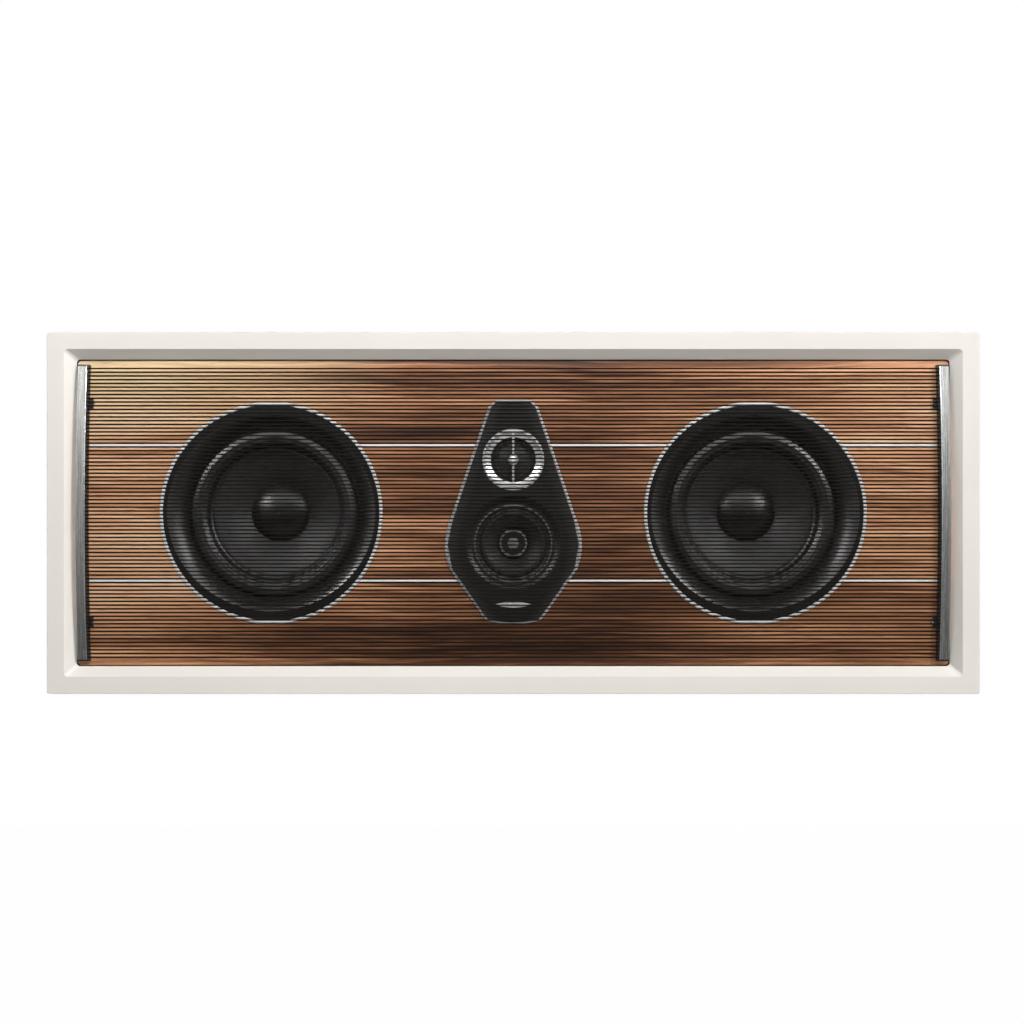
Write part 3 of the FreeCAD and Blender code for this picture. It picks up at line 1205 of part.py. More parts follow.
def make_terminal_block():
    half_w = TERMINAL_WIDTH / 2
    half_h = TERMINAL_HEIGHT / 2
    margin = TERMINAL_FLANGE_MARGIN
    y0 = PANEL_BACK_Y
    body = box(TERMINAL_X - half_w, TERMINAL_X + half_w, y0, TERMINAL_END_Y, -half_h, half_h)
    edges = [e for e in body.Edges if e.BoundBox.YMin > TERMINAL_END_Y - 0.01]
    body = body.makeFillet(BUTTON_ROUND, edges)
    body = body.fuse(box(TERMINAL_X - half_w - margin, TERMINAL_X + half_w + margin, y0,
                         y0 + TERMINAL_FLANGE, -half_h, half_h))
    well_w = BUTTON_WIDTH / 2 + BUTTON_GAP
    well_h = BUTTON_HEIGHT / 2 + BUTTON_GAP
    depth = BUTTON_INSIDE + BUTTON_TRAVEL + 1.0
    for x in button_spots():
        body = body.cut(box(x - well_w, x + well_w, TERMINAL_END_Y - depth, TERMINAL_END_Y + 1,
                            BUTTON_Z - well_h, BUTTON_Z + well_h))
        body = body.cut(rod(WIRE_HOLE_RADIUS, TERMINAL_END_Y - WIRE_HOLE_DEPTH, TERMINAL_END_Y + 1, x,
                            WIRE_HOLE_Z))
    return drill_rear_screws(body)


def make_button(x):
    half_w = BUTTON_WIDTH / 2
    half_h = BUTTON_HEIGHT / 2
    y0 = TERMINAL_END_Y - BUTTON_INSIDE
    y1 = TERMINAL_END_Y + BUTTON_SHOW
    body = box(x - half_w, x + half_w, y0, y1, BUTTON_Z - half_h, BUTTON_Z + half_h)
    edges = [e for e in body.Edges if e.BoundBox.YMin > y1 - 0.01]
    return body.makeFillet(BUTTON_ROUND, edges)


# Wall clamps

def make_clamp_screw(x, z):
    seat = -CHASSIS_FLANGE
    head = CLAMP_HEAD_RADIUS
    r = CLAMP_SCREW_RADIUS
    spots = [(0, seat - CLAMP_HEAD), (head - 0.6, seat - CLAMP_HEAD), (head, seat - CLAMP_HEAD + 0.6),
             (head, seat), (r, seat)]
    spots += [(r, CLAMP_END_Y - 1.0), (r - 1.0, CLAMP_END_Y), (0, CLAMP_END_Y)]
    body = turned(spots, x, z)
    half = CLAMP_SLOT / 2
    long = head * 0.6
    top = seat - CLAMP_HEAD
    body = body.cut(box(x - long, x + long, top - 1, top + CLAMP_SLOT, z - half, z + half))
    return body.cut(box(x - half, x + half, top - 1, top + CLAMP_SLOT, z - long, z + long))


def make_leg(x, z):
    """Leg of a wall clamp, parked along the edge of the chassis and pointing to the middle."""
    half = LEG_WIDTH / 2
    toward = -math.copysign(1.0, x)
    ends = (x - toward * half, x + toward * LEG_LENGTH)
    body = box(min(ends), max(ends), LEG_Y, LEG_Y + LEG_THICKNESS, z - half, z + half)
    edges = [e for e in body.Edges if e.BoundBox.XLength < 0.01 and e.BoundBox.ZLength < 0.01]
    body = body.makeFillet(half * 0.6, edges)
    tip = ends[1]
    tooth_from = tip - toward * 5.0
    tooth = box(min(tip, tooth_from), max(tip, tooth_from), LEG_Y - 2.0, LEG_Y + 0.5, z - half * 0.4,
                z + half * 0.4)
    body = body.fuse(tooth)
    return body.cut(rod(CLAMP_SCREW_RADIUS + CLAMP_HOLE_GAP, LEG_Y - 1, LEG_Y + LEG_THICKNESS + 1, x, z))


export("trim_frame", make_trim())
export("mounting_chassis", make_chassis())
export("wood_panel", make_panel())
export("inlay_lines", make_inlays())
export("panel_screws", make_panel_screws())

export("grille_strings", make_strings())
comb = make_comb()
export("string_comb_right", comb)
export("string_comb_left", mirrored(comb))
bar = make_bar()
export("end_bar_right", bar)
export("end_bar_left", mirrored(bar))
export("grille_pins", make_grille_pins())

for side, x in (("left", -WOOFER_X), ("right", WOOFER_X)):
    export("woofer_ring_" + side, make_ring(x))
    export("woofer_basket_" + side, make_basket(x))
    export("woofer_surround_" + side, make_surround(x))
    export("woofer_cone_" + side, make_cone(x))
    export("woofer_dust_cap_" + side, make_dust_cap(x))
    export("woofer_coil_" + side, make_coil(x))
    export("woofer_spider_" + side, make_spider(x))
export("woofer_top_plates", both(make_top_plate))
export("woofer_magnets", both(make_magnet))
export("woofer_yokes", both(make_yoke))
export("woofer_screws", make_woofer_screws())

export("centre_plate", make_plate())
export("rear_screws", make_rear_screws())
export("badge", make_badge())

export("midrange_chassis", make_mid_chassis())
export("midrange_surround", make_mid_surround())
export("midrange_cone", make_mid_cone())
export("midrange_cap", make_mid_cap())
export("midrange_coil", make_mid_coil())
export("midrange_motor", make_mid_motor())
export("midrange_cup", make_mid_cup())

export("tweeter_ring", make_tweeter_ring())
export("tweeter_phase_bar", make_phase_bar())
export("tweeter_dome", make_tweeter_dome())
export("tweeter_surround", make_tweeter_surround())
export("tweeter_body", make_tweeter_body())
export("tweeter_strap", make_strap())

export("crossover_board", make_board())
export("crossover_inductors", make_inductors())
export("crossover_capacitors", make_capacitors())
export("crossover_resistors", make_resistors())
export("terminal_block", make_terminal_block())
for name, x in zip(("terminal_button_left", "terminal_button_right"), button_spots()):
    export(name, make_button(x))

for name, spot in zip(("top_left", "top_right", "bottom_left", "bottom_right"), clamp_spots()):
    export("clamp_screw_" + name, make_clamp_screw(*spot))
    export("clamp_leg_" + name, make_leg(*spot))
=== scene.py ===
import math

import bpy
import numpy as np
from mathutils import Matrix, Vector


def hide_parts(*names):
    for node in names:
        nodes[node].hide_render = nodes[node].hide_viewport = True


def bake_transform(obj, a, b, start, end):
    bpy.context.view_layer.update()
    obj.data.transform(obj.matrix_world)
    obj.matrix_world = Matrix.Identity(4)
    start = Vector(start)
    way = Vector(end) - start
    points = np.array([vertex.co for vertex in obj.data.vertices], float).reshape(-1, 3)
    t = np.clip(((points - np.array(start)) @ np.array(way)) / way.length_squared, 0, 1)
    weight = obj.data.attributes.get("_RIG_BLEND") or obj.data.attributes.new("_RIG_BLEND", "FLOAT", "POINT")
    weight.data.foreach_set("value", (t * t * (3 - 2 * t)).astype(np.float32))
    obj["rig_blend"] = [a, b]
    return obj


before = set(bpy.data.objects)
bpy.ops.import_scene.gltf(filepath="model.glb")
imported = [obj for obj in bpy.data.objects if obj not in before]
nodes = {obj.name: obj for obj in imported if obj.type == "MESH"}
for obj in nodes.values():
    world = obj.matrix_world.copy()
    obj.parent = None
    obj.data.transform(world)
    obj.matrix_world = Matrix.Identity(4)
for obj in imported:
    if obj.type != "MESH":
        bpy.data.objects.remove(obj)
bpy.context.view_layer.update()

# Places and sizes in metres, the same as in the solids
WOOFER_X = 0.198
WOOFERS = (("left", -WOOFER_X), ("right", WOOFER_X))
MID_Z = -0.0252
TWEETER_Z = 0.0435
CAPACITOR_X = 0.08
# Half widths and heights up the side of the centre plate
PLATE_SIDE = ((0.0224, -0.0880), (0.0265, -0.0828), (0.0522, -0.0460), (0.0560, -0.0255), (0.0520, -0.0065),
              (0.0206, 0.0863), (0.0145, 0.0926))
# Woofer surround: radii of the roll, widths of its lip and glued rim, its skin, and depths along Y
ROLL_OUTER = 0.0700
ROLL_INNER = 0.0552
ROLL_LIP = 0.0045
ROLL_GLUE = 0.0030
ROLL_SKIN = 0.0008
ROLL_CREST_Y = 0.0019
ROLL_SEAT_Y = 0.0076
ROLL_INNER_Y = 0.0135

# Fine ribs on the roll, which the solids leave out, and how finely it is turned
RIB_COUNT = 6
RIB_HEIGHT = 0.00018
LATHE_TURNS = 180
SHARP_ANGLE = math.radians(50.0)
# Inner and outer radii between which each soft edge flexes
WOOFER_EDGE = (0.0555, 0.0698)
SPIDER_EDGE = (0.0226, 0.0394)
MID_EDGE = (0.0262, 0.0302)
TWEETER_EDGE = (0.0141, 0.0162)

# Limits of the finishes in metres. Past this radius the woofer rings' polished lip is painted white, a
# painted reflection
RING_BRIGHT_RADIUS = 0.0884
# Width of the painted highlight along the plate's side; slopes within these radii belong to the drivers
# instead
PLATE_BRIGHT_WIDTH = 0.0022
MID_CLEAR_RADIUS = 0.0405
TWEETER_CLEAR_RADIUS = 0.0262
# Inner and outer radii of the pale rings on the midrange's edge and cap, and radius of the cap's pale spot
MID_RING = (0.0311, 0.0319)
CAP_RING = (0.0098, 0.0116)
CAP_SPOT_RADIUS = 0.0050
# Half length of the sleeve on the longest capacitor
SLEEVE_HALF_LENGTH = 0.0217
# Axis of the badge's turning lines, so far below it that they run almost straight
BADGE_AXIS_Z = -0.4

# How bright the studio looks in gloss, as (height of the direction, level), and the even fill elsewhere
STUDIO = ((-1.0, 0.03), (-0.3, 0.10), (0.0, 0.32), (0.3, 1.0), (0.6, 1.0), (1.0, 0.7))
AMBIENT = 0.08
WHITE = (1.0, 1.0, 1.0, 1.0)
FLOOR_Z = -0.62
FLOOR_CORNERS = ((-1.6, -0.9, 0), (1.6, -0.9, 0), (1.6, 1.2, 0), (-1.6, 1.2, 0))
# Share of plain white in the floor that the camera sees
FLOOR_WHITE = 0.985


class Look:
    """A Principled material with helpers for the textures that drive it."""

    def __init__(self, name, colour, roughness, metallic=0.0, **sockets):
        self.material = bpy.data.materials.new(name)
        self.material.use_nodes = True
        self.tree = self.material.node_tree
        self.bsdf = self.tree.nodes["Principled BSDF"]
        self.put("Base Color", colour)
        self.put("Roughness", roughness)
        self.put("Metallic", metallic)
        for key, value in sockets.items():
            self.put(key.replace("_", " "), value)
        self.coords = self.add("ShaderNodeTexCoord").outputs["Object"]

    def put(self, socket, value):
        """Sets a socket of the shader to a constant, or links a texture to it."""
        target = self.bsdf.inputs[socket]
        if isinstance(value, bpy.types.NodeSocket):
            self.tree.links.new(value, target)
        elif isinstance(value, tuple):
            target.default_value = value + (1.0,)
        else:
            target.default_value = value

    def add(self, kind, *values, **settings):
        """Adds a node; values fill its inputs in order."""
        node = self.tree.nodes.new(kind)
        for key, value in settings.items():
            setattr(node, key, value)
        for socket, value in zip(node.inputs, values):
            if isinstance(value, bpy.types.NodeSocket):
                self.tree.links.new(value, socket)
            else:
                socket.default_value = value
        return node

    def stretched(self, x, y, z, moved=(0.0, 0.0, 0.0), source=None):
        """Object coordinates moved and then scaled along each axis."""
        shifted = self.add("ShaderNodeVectorMath", source or self.coords, moved, operation="ADD").outputs[0]
        return self.add("ShaderNodeVectorMath", shifted, (x, y, z), operation="MULTIPLY").outputs[0]

    def noise(self, vector, scale, detail=4.0, rough=0.55, distortion=0.0):
        """Cloudy noise, mostly between 0.3 and 0.7."""
        node = self.add("ShaderNodeTexNoise")
        self.tree.links.new(vector, node.inputs["Vector"])
        node.inputs["Scale"].default_value = scale
        node.inputs["Detail"].default_value = detail
        node.inputs["Roughness"].default_value = rough
        node.inputs["Distortion"].default_value = distortion
        return node.outputs["Fac"]

    def wave(self, vector, scale, distortion, direction):
        """Bands across a direction."""
        node = self.add("ShaderNodeTexWave", wave_type="BANDS", bands_direction=direction)
        self.tree.links.new(vector, node.inputs["Vector"])
        node.inputs["Scale"].default_value = scale
        node.inputs["Distortion"].default_value = distortion
        return node.outputs["Fac"]

    def ramp(self, fac, *stops):
        """Colour ramp through (position, colour) stops."""
        node = self.add("ShaderNodeValToRGB", fac)
        while len(node.color_ramp.elements) < len(stops):
            node.color_ramp.elements.new(0.5)
        for element, (position, colour) in zip(node.color_ramp.elements, stops):
            element.position = position
            element.color = tuple(colour) + (1.0,)
        return node.outputs["Color"]

    def span(self, value, low, high, to_low=0.0, to_high=1.0):
        """Maps low..high to to_low..to_high and stops at the ends."""
        return self.add("ShaderNodeMapRange", value, low, high, to_low, to_high).outputs["Result"]

    def math(self, operation, a, b=0.0):
        """Result of one operation on a, or on a and b."""
        return self.add("ShaderNodeMath", a, b, operation=operation).outputs[0]

    def ripples(self, value, rate):
        """Fine even waves, rate radians for each unit of value."""
        return self.math("SINE", self.math("MULTIPLY", value, rate))

    def mix(self, fac, a, b):
        """Colour a where fac is 0 and colour b where it is 1."""
        node = self.add("ShaderNodeMix", data_type="RGBA")
        for socket, value in ((node.inputs[0], fac), (node.inputs[6], a), (node.inputs[7], b)):
            if isinstance(value, bpy.types.NodeSocket):
                self.tree.links.new(value, socket)
            elif isinstance(value, tuple):
                socket.default_value = value + (1.0,)
            else:
                socket.default_value = value
        return node.outputs[2]

    def bump(self, height, strength, distance):
        """Relief on the whole surface, distance metres deep."""
        node = self.add("ShaderNodeBump")
        node.inputs["Strength"].default_value = strength
        node.inputs["Distance"].default_value = distance
        self.tree.links.new(height, node.inputs["Height"])
        self.put("Normal", node.outputs["Normal"])

    def radius(self, x, z):
        """Distance from an axis along Y through (x, z)."""
        flat = self.stretched(1.0, 0.0, 1.0, moved=(-x, 0.0, -z))
        return self.add("ShaderNodeVectorMath", flat, operation="LENGTH").outputs["Value"]

    def parts(self, vector=None):
        """X, Y and Z of a vector, or of the place on the object."""
        return self.add("ShaderNodeSeparateXYZ", vector or self.coords).outputs

    def facing(self):
        """How far the surface faces back along Y: -1 towards the room, 1 towards the wall."""
        return self.parts(self.add("ShaderNodeNewGeometry").outputs["True Normal"])[1]

    def between(self, value, low, high, soft=0.0002):
        """1 where value lies between low and high, with soft edges."""
        rise = self.span(value, low - soft, low + soft)
        fall = self.span(value, high - soft, high + soft, 1.0, 0.0)
        return self.math("MULTIPLY", rise, fall)


def shade(colour, amount):
    """A colour made darker or lighter."""
    return tuple(min(1.0, c * amount) for c in colour)


def moulded(name, colour, roughness, grain=900.0, depth=0.00006):
    """Moulded plastic: fine spark-eroded grain and slight cloudiness."""
    look = Look(name, colour, roughness)
    cloud = look.noise(look.coords, 18.0, 3.0)
    look.put("Base Color", look.ramp(cloud, (0.3, shade(colour, 0.85)), (0.7, shade(colour, 1.15))))
    patches = look.noise(look.coords, 60.0)
    look.put("Roughness", look.span(patches, 0.3, 0.7, roughness - 0.06, roughness + 0.06))
    look.bump(look.noise(look.coords, grain, 2.0), 0.35, depth)
    return look.material


def plated(name, colour, roughness):
    """Plated or turned steel with fine scratches along Y."""
    look = Look(name, colour, roughness, 1.0)
    lines = look.noise(look.stretched(900.0, 40.0, 900.0), 1.0, 3.0)
    look.put("Base Color", look.ramp(lines, (0.3, shade(colour, 0.82)), (0.7, shade(colour, 1.12))))
    look.put("Roughness", look.span(lines, 0.3, 0.7, roughness - 0.05, roughness + 0.08))
    look.bump(lines, 0.15, 0.00003)
    return look.material


def trim_paint():
    """Ivory satin lacquer with a faint orange peel."""
    look = Look("trim_paint", (0.745, 0.71, 0.66), 0.42)
    cloud = look.noise(look.coords, 5.0, 3.0)
    look.put("Base Color", look.ramp(cloud, (0.35, (0.730, 0.695, 0.643)), (0.65, (0.757, 0.722, 0.672))))
    look.put("Roughness", look.span(look.noise(look.coords, 35.0), 0.3, 0.7, 0.38, 0.47))
    look.bump(look.noise(look.coords, 420.0, 2.0), 0.12, 0.00005)
    return look.material


def walnut():
    """Open-pored walnut veneer, grain along X, with painted light: paler towards both ends and the left,
    lighter towards the top, a painted shadow under the top edge and a painted highlight at the upper left
    corner.
    """
    look = Look("walnut", (0.4, 0.2, 0.1), 0.4, Specular_IOR_Level=0.3, Coat_Weight=0.15, Coat_Roughness=0.3)
    place = look.parts()
    drift = look.noise(look.stretched(2.2, 1.0, 5.0), 1.0, 3.0)
    lean = look.add("ShaderNodeCombineXYZ", 0.0, 0.0, look.span(drift, 0.0, 1.0, -0.02, 0.02)).outputs[0]
    bent = look.add("ShaderNodeVectorMath", look.coords, lean, operation="ADD").outputs[0]
    bands = look.noise(look.stretched(1.3, 1.0, 24.0, source=bent), 1.0, 4.0, 0.6, 0.4)
    streaks = look.noise(look.stretched(3.0, 1.0, 150.0, source=bent), 1.0, 6.0, 0.7, 0.3)
    # Painted light: the wood is paler towards both ends and towards the left, standing in for light from
    # lamps at the sides
    ends = look.span(look.math("ABSOLUTE", place[0]), 0.07, 0.30, -0.22, 0.09)
    ends = look.math("ADD", ends, look.math("MULTIPLY", place[0], -0.10))
    # Painted light: lighter towards the top; under the frame's top edge a painted shadow darkens the wood
    rise = look.span(place[2], -0.11, 0.09, 0.04, 0.14)
    painted_top_shadow = look.span(place[2], 0.1175, 0.1205, 0.0, -0.20)
    upper = look.math("ADD", rise, painted_top_shadow)
    broad = look.span(bands, 0.28, 0.72, -0.32, 0.27)
    fine = look.span(streaks, 0.25, 0.75, -0.36, 0.36)
    grain = look.math("ADD", broad, fine)
    tone = look.math("ADD", look.math("ADD", ends, upper), look.math("ADD", grain, 0.56))
    colour = look.ramp(tone, (0.05, (0.030, 0.010, 0.004)), (0.26, (0.110, 0.040, 0.015)),
                       (0.44, (0.300, 0.124, 0.054)), (0.60, (0.570, 0.262, 0.124)),
                       (0.76, (0.840, 0.440, 0.230)), (0.95, (1.000, 0.640, 0.390)))
    # Painted highlight: a pale patch at the upper left corner of the wood
    corner = look.math("MULTIPLY", look.span(place[2], 0.055, 0.115), look.span(place[0], -0.09, -0.30))
    painted_corner_highlight = look.math("MULTIPLY", corner, look.span(bands, 0.30, 0.55, 0.55, 1.0))
    pale = look.ramp(streaks, (0.3, (0.70, 0.46, 0.22)), (0.6, (0.95, 0.76, 0.44)))
    colour = look.mix(painted_corner_highlight, colour, pale)
    pores = look.noise(look.stretched(55.0, 1.0, 1500.0), 1.0, 2.0)
    pore = look.span(pores, 0.60, 0.72)
    look.put("Base Color", look.mix(look.math("MULTIPLY", pore, 0.6), colour, (0.06, 0.03, 0.016)))
    look.put("Roughness", look.span(streaks, 0.3, 0.7, 0.46, 0.34))
    height = look.math("SUBTRACT", look.math("MULTIPLY", streaks, 0.4), pore)
    look.bump(height, 0.25, 0.00008)
    return look.material


def inlay_metal():
    """Pale drawn metal with fine lines along X."""
    look = Look("inlay_metal", (1.0, 0.99, 0.97), 0.42)
    lines = look.noise(look.stretched(20.0, 900.0, 2500.0), 1.0, 3.0)
    look.put("Base Color", look.ramp(lines, (0.3, (0.97, 0.96, 0.94)), (0.7, (1.0, 0.995, 0.98))))
    look.bump(lines, 0.1, 0.00003)
    return look.material


def elastic_string():
    """Braided elastic cord: two crossing sets of threads."""
    look = Look("elastic_string", (0.009, 0.006, 0.004), 0.65, Specular_IOR_Level=0.06)
    one = look.wave(look.stretched(1.0, 1.6, 1.6), 520.0, 0.0, "DIAGONAL")
    other = look.wave(look.stretched(-1.0, 1.6, 1.6), 520.0, 0.0, "DIAGONAL")
    braid = look.math("MAXIMUM", one, other)
    dye = look.noise(look.stretched(6.0, 300.0, 300.0), 1.0, 2.0)
    dark = look.ramp(dye, (0.3, (0.007, 0.0050, 0.0035)), (0.7, (0.014, 0.0098, 0.007)))
    look.put("Base Color", look.mix(look.span(braid, 0.2, 0.9), (0.004, 0.003, 0.0025), dark))
    look.bump(braid, 0.5, 0.00012)
    return look.material


def brushed_bar():
    """Brushed aluminium, brushed along the bar."""
    look = Look("brushed_bar", (0.6, 0.59, 0.57), 0.36, 1.0)
    lines = look.noise(look.stretched(4200.0, 60.0, 45.0), 1.0, 3.0, 0.7)
    coarse = look.noise(look.stretched(900.0, 25.0, 14.0), 1.0, 3.0, 0.6)
    both = look.math("ADD", look.math("MULTIPLY", lines, 0.55), look.math("MULTIPLY", coarse, 0.45))
    look.put("Base Color", look.ramp(both, (0.34, (0.32, 0.324, 0.316)), (0.5, (0.45, 0.454, 0.444)),
                                     (0.66, (0.60, 0.604, 0.592))))
    look.put("Roughness", look.span(both, 0.3, 0.7, 0.22, 0.30))
    look.bump(both, 0.1, 0.00003)
    return look.material


def ring_finish(name, x):
    """Woofer ring: polished lip painted white as a painted reflection, satin black band and shoulder."""
    look = Look(name, (0.01, 0.01, 0.0105), 0.34, Specular_IOR_Level=0.75)
    away = look.radius(x, 0.0)
    # Painted reflection: past this radius the polished lip gets a white base colour and less roughness
    bright = look.span(away, RING_BRIGHT_RADIUS, RING_BRIGHT_RADIUS + 0.0003)
    cloud = look.noise(look.coords, 40.0, 4.0)
    black = look.ramp(cloud, (0.3, (0.010, 0.010, 0.0105)), (0.7, (0.017, 0.017, 0.0175)))
    look.put("Base Color", look.mix(bright, black, (1.0, 1.0, 0.99)))
    look.put("Specular IOR Level", look.span(look.facing(), -0.995, -0.96, 0.2, 1.0))
    satin = look.span(look.noise(look.coords, 90.0), 0.3, 0.7, 0.33, 0.40)
    look.put("Roughness", look.math("MULTIPLY", satin, look.span(bright, 0.0, 1.0, 1.0, 0.4)))
    look.bump(look.noise(look.coords, 1100.0, 2.0), 0.12, 0.00003)
    return look.material


def cone_paper(name, x, z, gloss=0.5):
    """Pressed fibre cone: matted fibres and faint concentric press marks."""
    look = Look(name, (0.035, 0.035, 0.036), 0.46, Specular_IOR_Level=gloss)
    away = look.radius(x, z)
    marks = look.ripples(away, 5200.0)
    fibres = look.noise(look.coords, 520.0, 5.0, 0.7, 0.8)
    tone = look.noise(look.coords, 70.0, 4.0)
    look.put("Base Color", look.ramp(tone, (0.3, (0.024, 0.024, 0.0245)), (0.7, (0.038, 0.038, 0.039))))
    look.put("Roughness", look.span(fibres, 0.3, 0.7, 0.40, 0.58))
    look.bump(look.math("ADD", fibres, look.math("MULTIPLY", marks, 0.25)), 0.35, 0.00012)
    return look.material


def gloss_cap():
    """Smooth black dome with a soft shine."""
    look = Look("gloss_cap", (0.004, 0.004, 0.0043), 0.32, Specular_IOR_Level=0.55)
    cloud = look.noise(look.coords, 120.0, 4.0)
    look.put("Base Color", look.ramp(cloud, (0.3, (0.002, 0.002, 0.0021)), (0.7, (0.005, 0.005, 0.0053))))
    look.put("Roughness", look.span(cloud, 0.3, 0.7, 0.28, 0.38))
    look.bump(look.noise(look.coords, 900.0, 2.0), 0.06, 0.00002)
    return look.material


def rubber(name, ring=None):
    """Soft rubber with a slight bloom; ring gives the radii of a thin pale ring round the midrange's edge."""
    colour = (0.012, 0.012, 0.0125)
    look = Look(name, colour, 0.36, Specular_IOR_Level=0.8)
    bloom = look.noise(look.coords, 55.0, 4.0)
    black = look.ramp(bloom, (0.3, shade(colour, 0.75)), (0.7, shade(colour, 1.4)))
    if ring:
        black = look.mix(look.between(look.radius(0.0, MID_Z), *ring), black, (0.20, 0.20, 0.20))
    look.put("Base Color", black)
    look.put("Roughness", look.span(bloom, 0.3, 0.7, 0.31, 0.42))
    look.bump(look.noise(look.coords, 1300.0, 2.0), 0.15, 0.00003)
    return look.material


def plate_finish():
    """Satin black plate with a polished bevel all round painted white as a painted reflection, a painted
    highlight along the edge and a painted sheen next to it.
    """
    look = Look("plate_finish", (0.02, 0.02, 0.021), 0.4)
    # Painted reflection: the sloped faces of the polished bevel get a white base colour and less roughness
    sloped = look.between(look.facing(), -0.90, -0.40, 0.03)
    past_mid = look.span(look.radius(0.0, MID_Z), MID_CLEAR_RADIUS, MID_CLEAR_RADIUS + 0.0005)
    past_tweeter = look.span(look.radius(0.0, TWEETER_Z), TWEETER_CLEAR_RADIUS, TWEETER_CLEAR_RADIUS + 0.0004)
    bevel = look.math("MULTIPLY", sloped, look.math("MULTIPLY", past_mid, past_tweeter))
    place = look.parts()
    foot, head = PLATE_SIDE[0][1], PLATE_SIDE[-1][1]
    height = look.span(place[2], foot, head)
    # The ramp holds ten times the half width, which the line after it turns back into metres
    half = look.ramp(height, *[((z - foot) / (head - foot), (10.0 * x,) * 3) for x, z in PLATE_SIDE])
    inward = look.math("SUBTRACT", look.math("MULTIPLY", half, 0.1), look.math("ABSOLUTE", place[0]))
    # Painted highlight: a white strip along the plate's side, wider than the bevel
    painted_edge_highlight = look.span(inward, PLATE_BRIGHT_WIDTH, PLATE_BRIGHT_WIDTH + 0.0003, 1.0, 0.0)
    bright = look.math("MAXIMUM", bevel, painted_edge_highlight)
    cloud = look.noise(look.coords, 30.0, 4.0)
    black = look.ramp(cloud, (0.3, (0.009, 0.009, 0.0095)), (0.7, (0.015, 0.015, 0.0155)))
    # Painted sheen: the black turns paler towards the bright edge
    black = look.mix(look.span(inward, PLATE_BRIGHT_WIDTH, 0.012, 0.9, 0.0), black, (0.070, 0.070, 0.071))
    look.put("Base Color", look.mix(bright, black, (1.0, 1.0, 0.99)))
    satin = look.span(look.noise(look.coords, 80.0), 0.3, 0.7, 0.36, 0.46)
    look.put("Roughness", look.math("MULTIPLY", satin, look.span(bright, 0.0, 1.0, 1.0, 0.5)))
    look.bump(look.noise(look.coords, 1500.0, 2.0), 0.18, 0.00003)
    return look.material


def turned_metal(name, colour, roughness, x, z):
    """Bright satin-chromed metal with fine turning lines about an axis."""
    look = Look(name, colour, roughness, 0.5)
    lines = look.ripples(look.radius(x, z), 26000.0)
    cloud = look.noise(look.coords, 130.0, 3.0)
    look.put("Base Color", look.ramp(cloud, (0.3, shade(colour, 0.88)), (0.7, shade(colour, 1.08))))
    look.put("Roughness", look.span(cloud, 0.3, 0.7, roughness - 0.04, roughness + 0.06))
    look.bump(lines, 0.06, 0.00002)
    return look.material


def mid_cap():
    """Dark turned cap with a pale ring and a pale centre spot."""
    look = Look("mid_cap", (0.02, 0.02, 0.02), 0.34, 0.35)
    away = look.radius(0.0, MID_Z)
    ring = look.between(away, *CAP_RING)
    cloud = look.noise(look.coords, 300.0, 4.0)
    spot = look.span(away, CAP_SPOT_RADIUS, CAP_SPOT_RADIUS - 0.0006)
    marked = look.math("MAXIMUM", ring, spot)
    pale = look.math("MULTIPLY", marked, look.span(cloud, 0.3, 0.6, 0.6, 1.0))
    dark = look.ramp(cloud, (0.3, (0.010, 0.010, 0.0105)), (0.7, (0.022, 0.022, 0.0225)))
    look.put("Base Color", look.mix(pale, dark, (0.26, 0.26, 0.26)))
    lines = look.ripples(away, 16000.0)
    look.bump(lines, 0.08, 0.00002)
    return look.material


def woven(name, colour, pitch, roughness=0.75):
    """Plain weave of threads along X and Z."""
    look = Look(name, colour, roughness, Sheen_Weight=0.15, Sheen_Roughness=0.5)
    warp = look.wave(look.coords, 1.0 / pitch / 2.0, 0.3, "X")
    weft = look.wave(look.coords, 1.0 / pitch / 2.0, 0.3, "Z")
    cloth = look.math("MULTIPLY", warp, weft)
    look.put("Base Color", look.mix(cloth, shade(colour, 0.6), shade(colour, 1.25)))
    look.bump(cloth, 0.4, 0.0001)
    return look.material


def circuit_board():
    """Green solder mask over copper tracks, with a paler laminate edge."""
    look = Look("circuit_board", (0.02, 0.11, 0.05), 0.35)
    steps = look.noise(look.stretched(24.0, 0.0, 24.0), 1.0, 0.0)
    track = look.span(look.ripples(steps, 60.0), 0.2, 0.3)
    cloud = look.noise(look.coords, 50.0, 3.0)
    mask = look.mix(track, (0.012, 0.075, 0.032), (0.03, 0.16, 0.06))
    look.put("Base Color", look.mix(look.math("MULTIPLY", cloud, 0.3), mask, (0.01, 0.05, 0.02)))
    look.bump(track, 0.3, 0.00005)
    return look.material


def copper_winding():
    """Enamelled copper wire wound in layers along Y."""
    look = Look("copper_winding", (0.62, 0.27, 0.12), 0.32, 0.85)
    turns = look.wave(look.stretched(0.0, 1.0, 0.0), 320.0, 0.0, "Y")
    cloud = look.noise(look.coords, 160.0, 3.0)
    copper = look.ramp(cloud, (0.3, (0.55, 0.23, 0.10)), (0.7, (0.75, 0.35, 0.17)))
    look.put("Base Color", look.mix(turns, (0.20, 0.075, 0.035), copper))
    look.bump(turns, 0.8, 0.0004)
    return look.material


